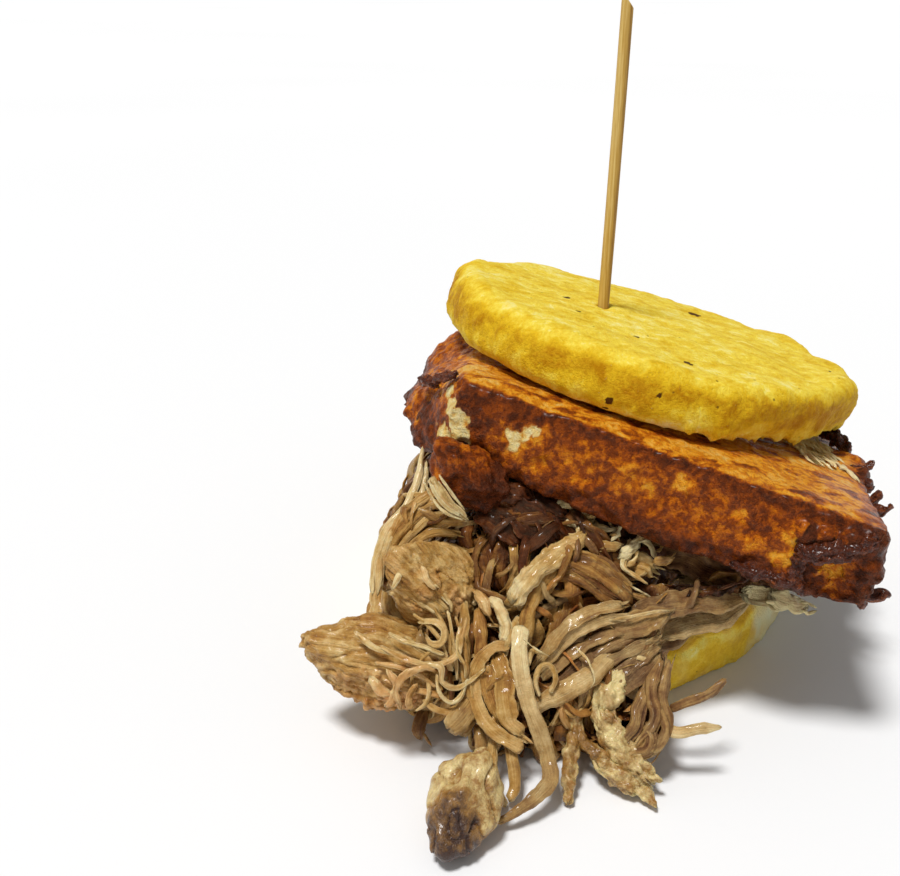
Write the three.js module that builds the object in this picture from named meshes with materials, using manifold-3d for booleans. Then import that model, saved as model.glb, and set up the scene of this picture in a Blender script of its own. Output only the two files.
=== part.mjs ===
// A filled corn cake, standing on its lower cake. Pulled pork is piled on it and spills over the front.
// A slab of browned cheese lies on the pork and a second cake on the cheese. A bamboo skewer goes down
// through them all.
// Millimetres, +Z up, -Y is the front. The origin is the middle of the lower cake's underside.
import * as THREE from "three";
import { mergeVertices } from "three/addons/utils/BufferGeometryUtils.js";
import Module from "manifold-3d";

const wasm = await Module();
wasm.setup();

// ---- Driving dimensions ----
const LOWER_CAKE_DIAMETER = 98;
const LOWER_CAKE_THICKNESS = 16;
const UPPER_CAKE_DIAMETER = 100;
const UPPER_CAKE_THICKNESS = 12.6;
const SLAB_LENGTH = 84;
const SLAB_WIDTH = 80;
const SLAB_THICKNESS = 16;
const SKEWER_DIAMETER = 2.6;
const SKEWER_LENGTH = 132;
const SKEWER_FOOT = 2.5; // how far the stick's blunt foot stands above the lower cake's underside
const GAP = 0.35; // clearance between neighbouring pieces

// The pork is highest at the left, so the slab and the upper cake both lean down to the right and the back.
const SKEWER_PLACE = { x: 2.9, y: 10, leanRight: 1.2 }; // of its foot
const SLAB_POSE = { x: 5, y: 10, z: 53, tiltRight: 16.3, tiltBack: 5.4 }; // of its top face
const UPPER_CAKE_POSE = { x: 15.2, y: 12, z: 53.1, tiltRight: 14.8, tiltBack: 3.6 }; // of its bottom face

const rad = THREE.MathUtils.degToRad;
const lerp = THREE.MathUtils.lerp;
const v3 = (x, y, z) => new THREE.Vector3(x, y, z);

// ---- Materials ----
const food = (color, roughness) => new THREE.MeshStandardMaterial({ color, roughness, metalness: 0 });
const CORN = food(0xe6bc2c, 0.6);
const CHEESE = food(0x9c5418, 0.4);
const PORK = food(0x9c7a4a, 0.45);
const BROWNED_PORK = food(0x8f6238, 0.5);
const FAT = food(0xa9844a, 0.35);
const BAMBOO = food(0xd8b36a, 0.6);

// ---- Helpers ----
/** A closed geometry as a solid that can be joined and cut. */
function solidOf(geometry) {
  const bare = geometry.index ? geometry.toNonIndexed() : geometry.clone();
  bare.deleteAttribute("normal");
  bare.deleteAttribute("uv");
  const merged = mergeVertices(bare, 1e-3);
  return new wasm.Manifold(
    new wasm.Mesh({
      numProp: 3,
      vertProperties: merged.attributes.position.array,
      triVerts: new Uint32Array(merged.index.array),
    }),
  );
}

const SIMPLIFY = 0.15; // how far a surface may move when its smallest faces are merged

/** A solid's largest piece as a geometry, without slivers that a cut left loose. */
function geometryOf(solid) {
  const pieces = solid.decompose();
  const largest = pieces.reduce((a, b) => (b.volume() > a.volume() ? b : a)).simplify(SIMPLIFY);
  const { vertProperties, triVerts } = largest.getMesh();
  const geometry = new THREE.BufferGeometry();
  geometry.setAttribute("position", new THREE.BufferAttribute(vertProperties, 3));
  geometry.setIndex(new THREE.BufferAttribute(triVerts, 1));
  geometry.computeVertexNormals();
  return geometry;
}

/** Moves every vertex of a geometry with shape(point), which changes the point in place. */
function reshape(geometry, shape) {
  const at = geometry.attributes.position;
  const point = v3(0, 0, 0);
  for (let i = 0; i < at.count; i++) {
    point.fromBufferAttribute(at, i);
    shape(point);
    at.setXYZ(i, point.x, point.y, point.z);
  }
  return geometry;
}

/** Rises smoothly from 0 to 1 as a value goes from one bound to the other. */
const smooth = (value, from, to) => THREE.MathUtils.smoothstep(value, from, to);

/** A repeatable number from 0 to 1 for each whole number. */
const chance = (n) => Math.abs(Math.sin(n * 12.9898 + 4.1414) * 43758.5453) % 1;

/** A sum of three waves of whole-number order round a circle, so that it closes on itself. */
function ripple(angle, seed) {
  const low = Math.sin(2 * angle + seed) + 0.6 * Math.sin(3 * angle + 2.3 * seed);
  return low + 0.4 * Math.sin(5 * angle + 3.1 * seed);
}

// ---- Corn cakes ----
const CAKE_SIDES = 48;
const RIM_STEPS = 5;
const FACE_RINGS = 4;

/** A hand-patted cake: flat faces, a rounded rim, an uneven outline and one side that is nearly straight. */
function cakeGeometry({ radius, thickness, shoulder, uneven, warp, seed, straight }, grow = 0) {
  const fullest = 0.42 * thickness;
  const profile = [new THREE.Vector2(0, 0)];
  const foot = radius - 0.55 * shoulder;
  const top = radius - shoulder;
  for (let i = 1; i <= FACE_RINGS; i++) profile.push(new THREE.Vector2((foot * i) / FACE_RINGS, 0));
  for (let i = 1; i < 2 * RIM_STEPS; i++) {
    const below = i < RIM_STEPS;
    const angle = (Math.PI / 2) * (i / RIM_STEPS - 1);
    const inner = below ? foot : top;
    const height = below ? fullest : thickness - fullest;
    const out = lerp(inner, radius, Math.cos(angle));
    profile.push(new THREE.Vector2(out, fullest + height * Math.sin(angle)));
  }
  for (let i = FACE_RINGS; i >= 1; i--) profile.push(new THREE.Vector2((top * i) / FACE_RINGS, thickness));
  profile.push(new THREE.Vector2(0, thickness));

  const cake = new THREE.LatheGeometry(profile, CAKE_SIDES).rotateX(Math.PI / 2);
  return reshape(cake, (p) => {
    const angle = Math.atan2(p.y, p.x);
    const share = Math.hypot(p.x, p.y) / radius;
    const nearStraight = Math.exp(-(((angle - rad(straight.angle)) / 0.55) ** 2));
    const outline = uneven * ripple(angle, seed) - straight.depth * nearStraight;
    const stretch = 1 + (outline * share + grow) / radius;
    const level = p.z / thickness;
    const swell = warp * level * (0.5 * ripple(angle + 1, seed + 2) * share + Math.cos(3 * share) * 0.6);
    p.set(p.x * stretch, p.y * stretch, p.z + swell + (2 * level - 1) * grow);
  });
}

const LOWER_CAKE = {
  radius: LOWER_CAKE_DIAMETER / 2,
  thickness: LOWER_CAKE_THICKNESS,
  shoulder: 6,
  uneven: 0.5,
  warp: 0.4,
  seed: 1.2,
  straight: { angle: 60, depth: 0 },
};
const UPPER_CAKE = {
  radius: UPPER_CAKE_DIAMETER / 2,
  thickness: UPPER_CAKE_THICKNESS,
  shoulder: 5,
  uneven: 0.5,
  warp: 0.7,
  seed: 4.1,
  straight: { angle: -52, depth: 4 },
};

// ---- Cheese slab ----
const SLAB_NEAR_LEFT = v3(-35.4, -42.2, 0); // its near left corner, from the skewer
const SLAB_SKEW = { near: -17.3, left: -7.5, right: -16.4 }; // degrees that its edges turn from X and Y
const SLAB_ROUND = 2.6; // radius of its worn edges
const LEFT_SLOPE = 14; // how far the left end's foot stands out past its top edge

/** The slab: a cut block, thinner at the left, with worn edges, uneven sides and a sloping left end. */
function slabGeometry(grow = 0) {
  const block = new THREE.BoxGeometry(1, 1, 1, 20, 16, 4);
  const half = v3(SLAB_LENGTH / 2 + grow, SLAB_WIDTH / 2 + grow, SLAB_THICKNESS / 2 + grow);
  const inner = half.clone().subScalar(SLAB_ROUND);
  const along = v3(Math.cos(rad(SLAB_SKEW.near)), Math.sin(rad(SLAB_SKEW.near)), 0);
  return reshape(block, (p) => {
    const full = p.clone().multiplyScalar(2).multiply(half);
    const core = full.clone().clamp(inner.clone().negate(), inner);
    const corner = full.clone().sub(core);
    if (corner.lengthSq() > 0) full.copy(core).add(corner.setLength(Math.min(corner.length(), SLAB_ROUND)));

    const s = full.x / SLAB_LENGTH + 0.5;
    const t = full.y / SLAB_WIDTH + 0.5;
    const h = full.z / SLAB_THICKNESS + 0.5;
    const sag = 0.12 * Math.sin(Math.PI * s) * (1 - t);
    const thickness = lerp(0.95, 1.06, s) + 0.03 * Math.sin(9 * s) + sag;
    const edgeWave = 0.8 * Math.sin(7 * s + 1) * (1 - t) + 0.7 * Math.sin(6 * t + 2) * s;
    const leftSlope = LEFT_SLOPE * (1 - h) * Math.max(0, 1 - s / 0.3) ** 2 * smooth(t, -0.05, 0.25);
    const bulge = 1.2 * Math.sin(Math.PI * t) * Math.sin(Math.PI * s) * h;
    const side = rad(lerp(SLAB_SKEW.left, SLAB_SKEW.right, s));
    const x = s * SLAB_LENGTH - leftSlope;
    const y = t * SLAB_WIDTH - edgeWave * Math.sin(Math.PI * h);
    p.copy(SLAB_NEAR_LEFT).addScaledVector(along, x).add(v3(-Math.sin(side) * y, Math.cos(side) * y, 0));
    p.z += (full.z - SLAB_THICKNESS / 2) * thickness + bulge;
  });
}

// ---- Pork ----
/** A lump: a sphere of three half-axes, narrowing along X by its taper, turned, with shallow waves. */
function lumpGeometry(lump, grow = 0) {
  const { centre, half, turn = [0, 0, 0], taper = 0, waves = 0.06, seed = 0, steps = [16, 11] } = lump;
  const shape = reshape(new THREE.SphereGeometry(1, ...steps), (p) => {
    const wave = Math.sin(3 * p.x + seed) + Math.sin(4 * p.y + 2 * seed) + Math.sin(5 * p.z + 3 * seed);
    const narrow = 1 + taper * p.x;
    const size = v3(half[0] + grow, half[1] * narrow + grow, half[2] * narrow + grow);
    p.multiplyScalar(1 + waves * wave).multiply(size);
  });
  return shape.rotateX(rad(turn[0])).rotateY(rad(turn[1])).rotateZ(rad(turn[2])).translate(...centre);
}

/** A torn strip of meat: a sphere drawn out along a curve, wide across its flat side and tapered. */
function stripGeometry({ route, width, thickness, steps = [6, 7] }, grow = 0) {
  const curve = new THREE.CatmullRomCurve3(route.map((p) => v3(...p)));
  return reshape(new THREE.SphereGeometry(1, ...steps), (p) => {
    const along = THREE.MathUtils.clamp((1 - p.y) / 2, 0, 1);
    const middle = curve.getPointAt(along);
    const tangent = curve.getTangentAt(along);
    const flat = v3(0, -0.7, 0.7).cross(tangent).normalize();
    const up = tangent.clone().cross(flat).normalize();
    const full = Math.max(Math.hypot(p.x, p.z), 1e-6) ** -0.45; // keeps the strip full up to its blunt ends
    middle.addScaledVector(flat, p.x * full * (width / 2 + grow));
    middle.addScaledVector(up, p.z * full * (thickness / 2 + grow));
    p.copy(middle);
  });
}

// Where the pork lies: heights are above the surface that the lower cake stands on.
const PILE = [
  { centre: [-2, -1, 20], half: [41, 43, 34], turn: [0, 0, 0], waves: 0.03, seed: 2, steps: [22, 12] },
  { centre: [-12, -36, 24], half: [24, 14, 17], turn: [30, 0, 0], waves: 0.06, seed: 3 },
  { centre: [-10, -52, 6], half: [18, 12, 16], turn: [10, 0, 8], waves: 0.07, seed: 5 },
  { centre: [-29, -50, 12], half: [12, 9, 13], waves: 0.07, seed: 5 },
  { centre: [2, -46, 14], half: [12, 11, 13], turn: [20, 0, 0], waves: 0.06, seed: 4 },
  { centre: [1, -65, 6], half: [6, 7, 6.5], waves: 0.09, seed: 7 },
];

// The strips that stand out of the pile's front, each by its route from root to tip.
const FRONT_STRIPS = [
  { route: [[-17, -50, 23], [-18, -62, 13], [-13, -70, 5], [-21, -79, 3]], width: 5, thickness: 3 },
  { route: [[-15, -62, 12], [-5, -54, 21], [4, -50, 25], [14, -49, 26]], width: 7, thickness: 4 },
  { route: [[-13, -63, 10], [-2, -59, 15], [8, -53, 21]], width: 6, thickness: 5 },
  { route: [[-2, -46, 26], [12, -48, 28], [28, -45, 27]], width: 8, thickness: 4 },
  { route: [[8, -54, 20], [10, -60, 13], [5, -68, 5]], width: 8, thickness: 5 },
  { route: [[4, -60, 10], [12, -62, 12], [20, -60, 15]], width: 3, thickness: 2.4 },
  { route: [[4, -63, 9], [12, -65, 9], [19, -65, 9]], width: 3, thickness: 2.4 },
  { route: [[-22, -52, 22], [-24, -60, 14], [-18, -68, 7]], width: 7, thickness: 5 },
  { route: [[-22, -64, 10], [-21, -70, 5], [-20, -75, 2.5]], width: 5, thickness: 4 },
  { route: [[-6, -60, 13], [-9, -68, 6], [-11, -75, 2.5]], width: 5, thickness: 4 },
  { route: [[-31, -26, 46], [-40, -37, 39], [-43, -46, 28]], width: 5, thickness: 3 },
  { route: [[-43, -40, 34], [-36, -38, 41], [-27, -38, 36]], width: 7, thickness: 6 },
  { route: [[-1, -38, 36], [-11, -47, 29], [-18, -55, 20]], width: 5, thickness: 3.5 },
  { route: [[20, -36, 23], [30, -38, 25], [40, -34, 25]], width: 7, thickness: 3.5 },
];

// Strips that hang over the lower cake's edge round the sides and back.
const EDGE_STRIPS = 11;
function edgeStrip(i) {
  const angle = rad(lerp(-18, 205, i / (EDGE_STRIPS - 1)));
  const lean = (chance(i) - 0.5) * 0.7;
  const reach = lerp(43, 48, chance(i + 20));
  const tipHeight = lerp(17, 21, chance(i + 40));
  const at = (radius, turn, height) => [
    radius * Math.cos(angle + turn),
    radius * Math.sin(angle + turn),
    height,
  ];
  return {
    route: [at(26, -lean, 26), at(36, -lean / 2, 25), at(reach, lean / 2, tipHeight)],
    width: lerp(6, 9, chance(i + 60)),
    thickness: lerp(4, 5.5, chance(i + 80)),
  };
}

// The pieces that lie on the pile's left, each a solid of its own.
const CHUNK_UPPER = {
  centre: [-34, -45, 27.5],
  half: [13.5, 7, 8.5],
  turn: [0, 50, 20],
  taper: 0.2,
  waves: 0.05,
  seed: 1,
};
const CHUNK_LEFT = {
  centre: [-45.5, -53, 15],
  half: [15.5, 8, 7.5],
  turn: [0, 12, 6],
  taper: 0.35,
  waves: 0.05,
  seed: 6,
};
const FAT_KNOB = { centre: [-28.5, -81, 6], half: [6.6, 8.5, 6], turn: [12, 0, -8], waves: 0.06, seed: 3 };
const CHEESE_FOLD = { centre: [-27.5, -36, 49], half: [8.5, 7.5, 5.6], turn: [0, 24, -8], seed: 8 };

// ---- Skewer ----
/** The stick, blind in the lower cake, leaning slightly, with a slanting cut at its upper end. */
function skewerGeometry(grow = 0) {
  const radius = SKEWER_DIAMETER / 2 + grow;
  const stick = new THREE.CylinderGeometry(radius, radius, SKEWER_LENGTH, 12).rotateX(Math.PI / 2);
  reshape(stick, (p) => {
    if (p.z > 0) p.z -= 1.2 * p.x;
    else p.z -= grow;
    p.z += SKEWER_LENGTH / 2;
  });
  return stick.rotateY(rad(SKEWER_PLACE.leanRight)).translate(SKEWER_PLACE.x, SKEWER_PLACE.y, SKEWER_FOOT);
}

// ---- Assembly ----
/** Moves a geometry from its own frame to its pose on the pile. */
function pose(geometry, { x, y, z, tiltRight, tiltBack }) {
  return geometry.rotateY(rad(tiltRight)).rotateX(rad(-tiltBack)).translate(x, y, z);
}
const upperCake = (grow) => pose(cakeGeometry(UPPER_CAKE, grow), UPPER_CAKE_POSE);
const slab = (grow) => pose(slabGeometry(grow), SLAB_POSE);

const solid = (shape, details, grow = 0) => solidOf(shape(details, grow));
const cut = (first, ...others) => others.reduce((left, other) => left.subtract(other), first);
const join = (solids) => solids.reduce((all, next) => all.add(next));

const hole = solidOf(skewerGeometry(GAP));
const ground = solidOf(new THREE.BoxGeometry(400, 400, 100).translate(0, 0, -50));
const overSlab = new THREE.BoxGeometry(300, 300, 100).translate(0, 0, 50 - 0.6 * SLAB_THICKNESS);
const aboveSlab = solidOf(pose(overSlab, SLAB_POSE));
const layers = [
  solid(cakeGeometry, LOWER_CAKE, GAP),
  solidOf(slab(GAP)),
  solidOf(upperCake(GAP)),
  hole,
];
const foldRoom = solid(lumpGeometry, CHEESE_FOLD, GAP);
const chunkUpperRoom = solid(lumpGeometry, CHUNK_UPPER, GAP);
const chunkLeftRoom = solid(lumpGeometry, CHUNK_LEFT, GAP);
const knobRoom = solid(lumpGeometry, FAT_KNOB, GAP);

const lowerCakeSolid = cut(solid(cakeGeometry, LOWER_CAKE), hole);
const upperCakeSolid = cut(solidOf(upperCake(0)), hole);
const slabSolid = cut(solidOf(slab(0)), hole, solidOf(upperCake(GAP)));
const foldSolid = cut(solid(lumpGeometry, CHEESE_FOLD), ...layers);
const chunkUpperSolid = cut(solid(lumpGeometry, CHUNK_UPPER), ...layers, foldRoom);
const chunkLeftSolid = cut(solid(lumpGeometry, CHUNK_LEFT), ground, ...layers, chunkUpperRoom);
const knobSolid = cut(solid(lumpGeometry, FAT_KNOB), ground);
const pile = join([
  ...PILE.map((lump) => solid(lumpGeometry, lump)),
  ...FRONT_STRIPS.map((strip) => solid(stripGeometry, strip)),
  ...Array.from({ length: EDGE_STRIPS }, (_, i) => solid(stripGeometry, edgeStrip(i))),
]);
const besidePieces = [foldRoom, chunkUpperRoom, chunkLeftRoom, knobRoom];
const heapSolid = cut(pile, ground, aboveSlab, ...layers, ...besidePieces);

const part = new THREE.Group();
const add = (name, shape, material) => {
  const mesh = new THREE.Mesh(geometryOf(shape), material);
  mesh.name = name;
  part.add(mesh);
};
add("arepa_lower", lowerCakeSolid, CORN);
add("pork_heap", heapSolid, PORK);
add("pork_chunk_upper", chunkUpperSolid, BROWNED_PORK);
add("pork_chunk_left", chunkLeftSolid, BROWNED_PORK);
add("fat_knob", knobSolid, FAT);
add("cheese_fold", foldSolid, CHEESE);
add("cheese_slab", slabSolid, CHEESE);
add("arepa_upper", upperCakeSolid, CORN);
add("skewer", solidOf(skewerGeometry()), BAMBOO);

export default part;
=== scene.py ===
"""Dresses the filled corn cake for looks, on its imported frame.

Everything is in the CAD frame: +Z up, -Y the front, the origin under the middle of the lower cake.
Sizes in the classes are in millimetres; meshes are made in metres.
"""

from __future__ import annotations

import logging
import math
from dataclasses import dataclass, field, replace
from enum import Enum
from typing import Sequence

import bpy
import numpy as np
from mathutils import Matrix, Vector
from mathutils.bvhtree import BVHTree


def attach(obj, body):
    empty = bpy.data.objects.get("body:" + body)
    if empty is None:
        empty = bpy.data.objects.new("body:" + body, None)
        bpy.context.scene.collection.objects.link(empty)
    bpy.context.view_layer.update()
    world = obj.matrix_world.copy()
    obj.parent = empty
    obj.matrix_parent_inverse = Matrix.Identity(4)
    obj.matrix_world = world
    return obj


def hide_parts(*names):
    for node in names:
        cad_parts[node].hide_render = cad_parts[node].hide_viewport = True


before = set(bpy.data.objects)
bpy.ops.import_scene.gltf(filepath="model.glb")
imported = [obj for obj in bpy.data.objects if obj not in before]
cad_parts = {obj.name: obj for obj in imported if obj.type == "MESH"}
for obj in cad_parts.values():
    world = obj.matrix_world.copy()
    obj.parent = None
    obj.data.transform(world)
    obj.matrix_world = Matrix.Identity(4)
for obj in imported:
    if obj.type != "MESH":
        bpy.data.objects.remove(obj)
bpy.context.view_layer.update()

MM = 0.001
Colour = tuple[float, float, float, float]
Place = tuple[float, float, float]
Array = np.ndarray
Material = bpy.types.Material
log = logging.getLogger("filled_cake")

# The lowest that each kind of piece comes, in mm above the floor.
LOWEST_CAKE = 0.05
LOWEST_KNOB = 0.1
LOWEST_STRIP = 0.15
LOWEST_CORE = 0.3
LOWEST_DRAPE = 0.7
LOWEST_STATION = 0.8

ABOVE_ALL = 90.0  # a height over the whole stack, in mm
WIDE_STRIP = 1.3  # front strips wider than this, in mm, get the coarser of the two steps
COARSE_STEP = 0.35
FINE_STEP = 0.24  # the size of a face on a strip, in mm


# ---- Small maths ----


def colour(code: str) -> Colour:
    """Returns the linear colour of a six-digit display colour code."""
    parts = [int(code[i : i + 2], 16) / 255 for i in (0, 2, 4)]
    return (*[p / 12.92 if p <= 0.04045 else ((p + 0.055) / 1.055) ** 2.4 for p in parts], 1.0)


def ease(value: Array, low: float, high: float) -> Array:
    """Rises smoothly from 0 to 1 as a value goes from low to high."""
    share = np.clip((value - low) / (high - low), 0, 1)
    return share * share * (3 - 2 * share)


def unit(vectors: Array) -> Array:
    """Returns the vectors at length one."""
    return vectors / np.maximum(np.linalg.norm(vectors, axis=-1, keepdims=True), 1e-9)


def crest(value: Array, width: float) -> Array:
    """Returns 1 where a value crosses zero, falling to 0 at a width either side."""
    return np.clip(1 - np.abs(value) / width, 0, 1)


class Grain:
    """Smooth, repeatable noise in space, about -1 to 1."""

    GAIN = 1.7  # brings the sum to about -1 to 1
    SHIFT = 37.1  # how far apart two layers are read, in mm

    def __init__(self, seed: int) -> None:
        """Draws the lattice's random slopes."""
        rng = np.random.default_rng(seed)
        self._order = np.tile(rng.permutation(256), 3)
        self._slopes = unit(rng.normal(size=(256, 3)))

    def at(self, points: Array, size: float) -> Array:
        """Reads the noise.

        Args:
            points: places in mm, one a row.
            size: how far apart its bumps are, in mm.

        Returns:
            One value a point.
        """
        place = points / size
        cell = np.floor(place).astype(int)
        within = place - cell
        cell &= 255
        blend = within**3 * (within * (within * 6 - 15) + 10)
        total = np.zeros(len(points))
        for corner in np.ndindex(2, 2, 2):
            key = (cell + corner) & 255
            slot = self._order[self._order[self._order[key[:, 0]] + key[:, 1]] + key[:, 2]]
            weight = np.prod(np.where(np.array(corner, bool), blend, 1 - blend), axis=1)
            total += weight * np.einsum("ij,ij->i", self._slopes[slot], within - corner)
        return total * self.GAIN

    def layers(self, points: Array, size: float, count: int = 3) -> Array:
        """Adds finer and finer noise.

        Args:
            points: places in mm.
            size: the coarsest bump size, in mm.
            count: how many layers, each half the size and strength of the last.

        Returns:
            One value a point.
        """
        return sum(self.at(points + self.SHIFT * i, size / 2**i) / 2**i for i in range(count))


# ---- Shader maths ----


class Wire:
    """A socket that can be used in sums: each operator adds one Math node."""

    def __init__(self, recipe: Recipe, socket: bpy.types.NodeSocket) -> None:
        """Wraps a socket of a recipe's tree."""
        self.recipe = recipe
        self.socket = socket

    def _sum(self, operation: str, *values: Wire | float) -> Wire:
        """Adds one Math node.

        Args:
            operation: the Math node's operation.
            values: its inputs, in order.

        Returns:
            Its result.
        """
        return self.recipe.node("ShaderNodeMath", {"operation": operation}, dict(enumerate(values)))

    def __add__(self, other: Wire | float) -> Wire:
        """Adds."""
        return self._sum("ADD", self, other)

    def __sub__(self, other: Wire | float) -> Wire:
        """Subtracts."""
        return self._sum("SUBTRACT", self, other)

    def __rsub__(self, other: Wire | float) -> Wire:
        """Subtracts from a number."""
        return self._sum("SUBTRACT", other, self)

    def __mul__(self, other: Wire | float) -> Wire:
        """Multiplies."""
        return self._sum("MULTIPLY", self, other)

    __radd__ = __add__
    __rmul__ = __mul__

    def clip(self) -> Wire:
        """Keeps the value from 0 to 1."""
        return self.step(0.0, 1.0, "LINEAR")

    def step(self, low: float, high: float, kind: str = "SMOOTHSTEP") -> Wire:
        """Rises from 0 to 1 between two values.

        Args:
            low: where it is still 0.
            high: where it is 1.
            kind: the Map Range node's interpolation.

        Returns:
            The value from 0 to 1.
        """
        settings = {"interpolation_type": kind, "clamp": True}
        values = {"Value": self, "From Min": low, "From Max": high}
        return self.recipe.node("ShaderNodeMapRange", settings, values)


class Recipe:
    """A material under construction, with its shader and its common coordinates."""

    def __init__(self, name: str) -> None:
        """Starts an empty material with a principled shader."""
        self.material = bpy.data.materials.new(name)
        self.material.use_nodes = True
        self.tree = self.material.node_tree
        self.tree.nodes.clear()
        self.shader = self.tree.nodes.new("ShaderNodeBsdfPrincipled")
        output = self.tree.nodes.new("ShaderNodeOutputMaterial")
        self.tree.links.new(self.shader.outputs[0], output.inputs[0])
        coords = self.node("ShaderNodeTexCoord", {}, {}, "Object")
        scaled = {0: coords, "Scale": 1 / MM}
        self.place = self.node("ShaderNodeVectorMath", {"operation": "SCALE"}, scaled)

    def node(self, kind: str, settings: dict, values: dict, output: str | int = 0) -> Wire:
        """Adds a node.

        Args:
            kind: the node's type.
            settings: its attributes, set first; "stops" fills a colour ramp.
            values: a number, colour or link for each input, by name or index.
            output: which output to return.

        Returns:
            That output.
        """
        node = self.tree.nodes.new(kind)
        for key, value in settings.items():
            if key == "stops":
                self._fill(node.color_ramp, value)
            else:
                setattr(node, key, value)
        for key, value in values.items():
            if isinstance(value, Wire):
                self.tree.links.new(value.socket, node.inputs[key])
            else:
                node.inputs[key].default_value = value
        return Wire(self, node.outputs[output])

    @staticmethod
    def _fill(ramp: bpy.types.ColorRamp, stops: Sequence[tuple[float, str]]) -> None:
        """Sets a colour ramp's stops from pairs of a place and a colour code."""
        while len(ramp.elements) < len(stops):
            ramp.elements.new(1.0)
        for element, (place, code) in zip(ramp.elements, stops):
            element.position = place
            element.color = colour(code)

    def noise(
        self, where: Wire, size: float, detail: float = 3.0, rough: float = 0.55, warp: float = 0.0
    ) -> Wire:
        """Adds noise.

        Args:
            where: coordinates in mm.
            size: its coarsest bump, in mm.
            detail: how many finer layers it has.
            rough: how strong they are.
            warp: how far it is distorted.

        Returns:
            A value about 0.5.
        """
        values = {"Vector": where, "Scale": 1 / size, "Detail": detail}
        values |= {"Roughness": rough, "Distortion": warp}
        return self.node("ShaderNodeTexNoise", {}, values, "Fac")

    def stretch(self, where: Wire, scale: Place, turn: float = 0.0) -> Wire:
        """Scales coordinates per axis, after turning them about Z by an angle in degrees."""
        values = {"Vector": where, "Scale": scale, "Rotation": (0.0, 0.0, math.radians(turn))}
        return self.node("ShaderNodeMapping", {"vector_type": "TEXTURE"}, values)

    def cells(self, where: Wire, size: float, output: str = "Distance") -> Wire:
        """Adds Voronoi cells of a size in mm and returns one of their outputs."""
        return self.node("ShaderNodeTexVoronoi", {}, {"Vector": where, "Scale": 1 / size}, output)

    def read(self, name: str, output: str = "Fac") -> Wire:
        """Reads a mesh attribute."""
        return self.node("ShaderNodeAttribute", {"attribute_name": name}, {}, output)

    def mix(
        self, share: Wire | float, first: Wire | Colour, second: Wire | Colour, how: str = "MIX"
    ) -> Wire:
        """Mixes two colours.

        Args:
            share: how much of the second, from 0 to 1.
            first: a colour.
            second: another.
            how: the blend type.

        Returns:
            The mixed colour.
        """
        settings = {"data_type": "RGBA", "blend_type": how, "clamp_factor": True}
        return self.node("ShaderNodeMix", settings, {0: share, 6: first, 7: second}, 2)

    def ramp(self, share: Wire, *stops: tuple[float, str]) -> Wire:
        """Turns a value into a colour through stops, each a place and a colour code."""
        return self.node("ShaderNodeValToRGB", {"stops": stops}, {"Fac": share}, "Color")

    def bump(self, height: Wire, depth: float) -> Wire:
        """Turns a height from 0 to 1 into a normal that is bumped by a depth in mm."""
        values = {"Height": height, "Distance": depth * MM, "Strength": 1.0}
        return self.node("ShaderNodeBump", {}, values)

    def finish(
        self, base: Wire, roughness: Wire | float, normal: Wire | None, **fixed: float | tuple
    ) -> Material:
        """Feeds the shader.

        Args:
            base: the base colour.
            roughness: the roughness.
            normal: the bumped normal, if any.
            fixed: constants for other sockets, by name with underscores.

        Returns:
            The finished material.
        """
        links = {"Base Color": base, "Roughness": roughness}
        if normal is not None:
            links["Normal"] = normal
        for key, value in {**links, **{k.replace("_", " "): v for k, v in fixed.items()}}.items():
            if isinstance(value, Wire):
                self.tree.links.new(value.socket, self.shader.inputs[key])
            else:
                self.shader.inputs[key].default_value = value
        return self.material


# ---- Finishes ----


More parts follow.
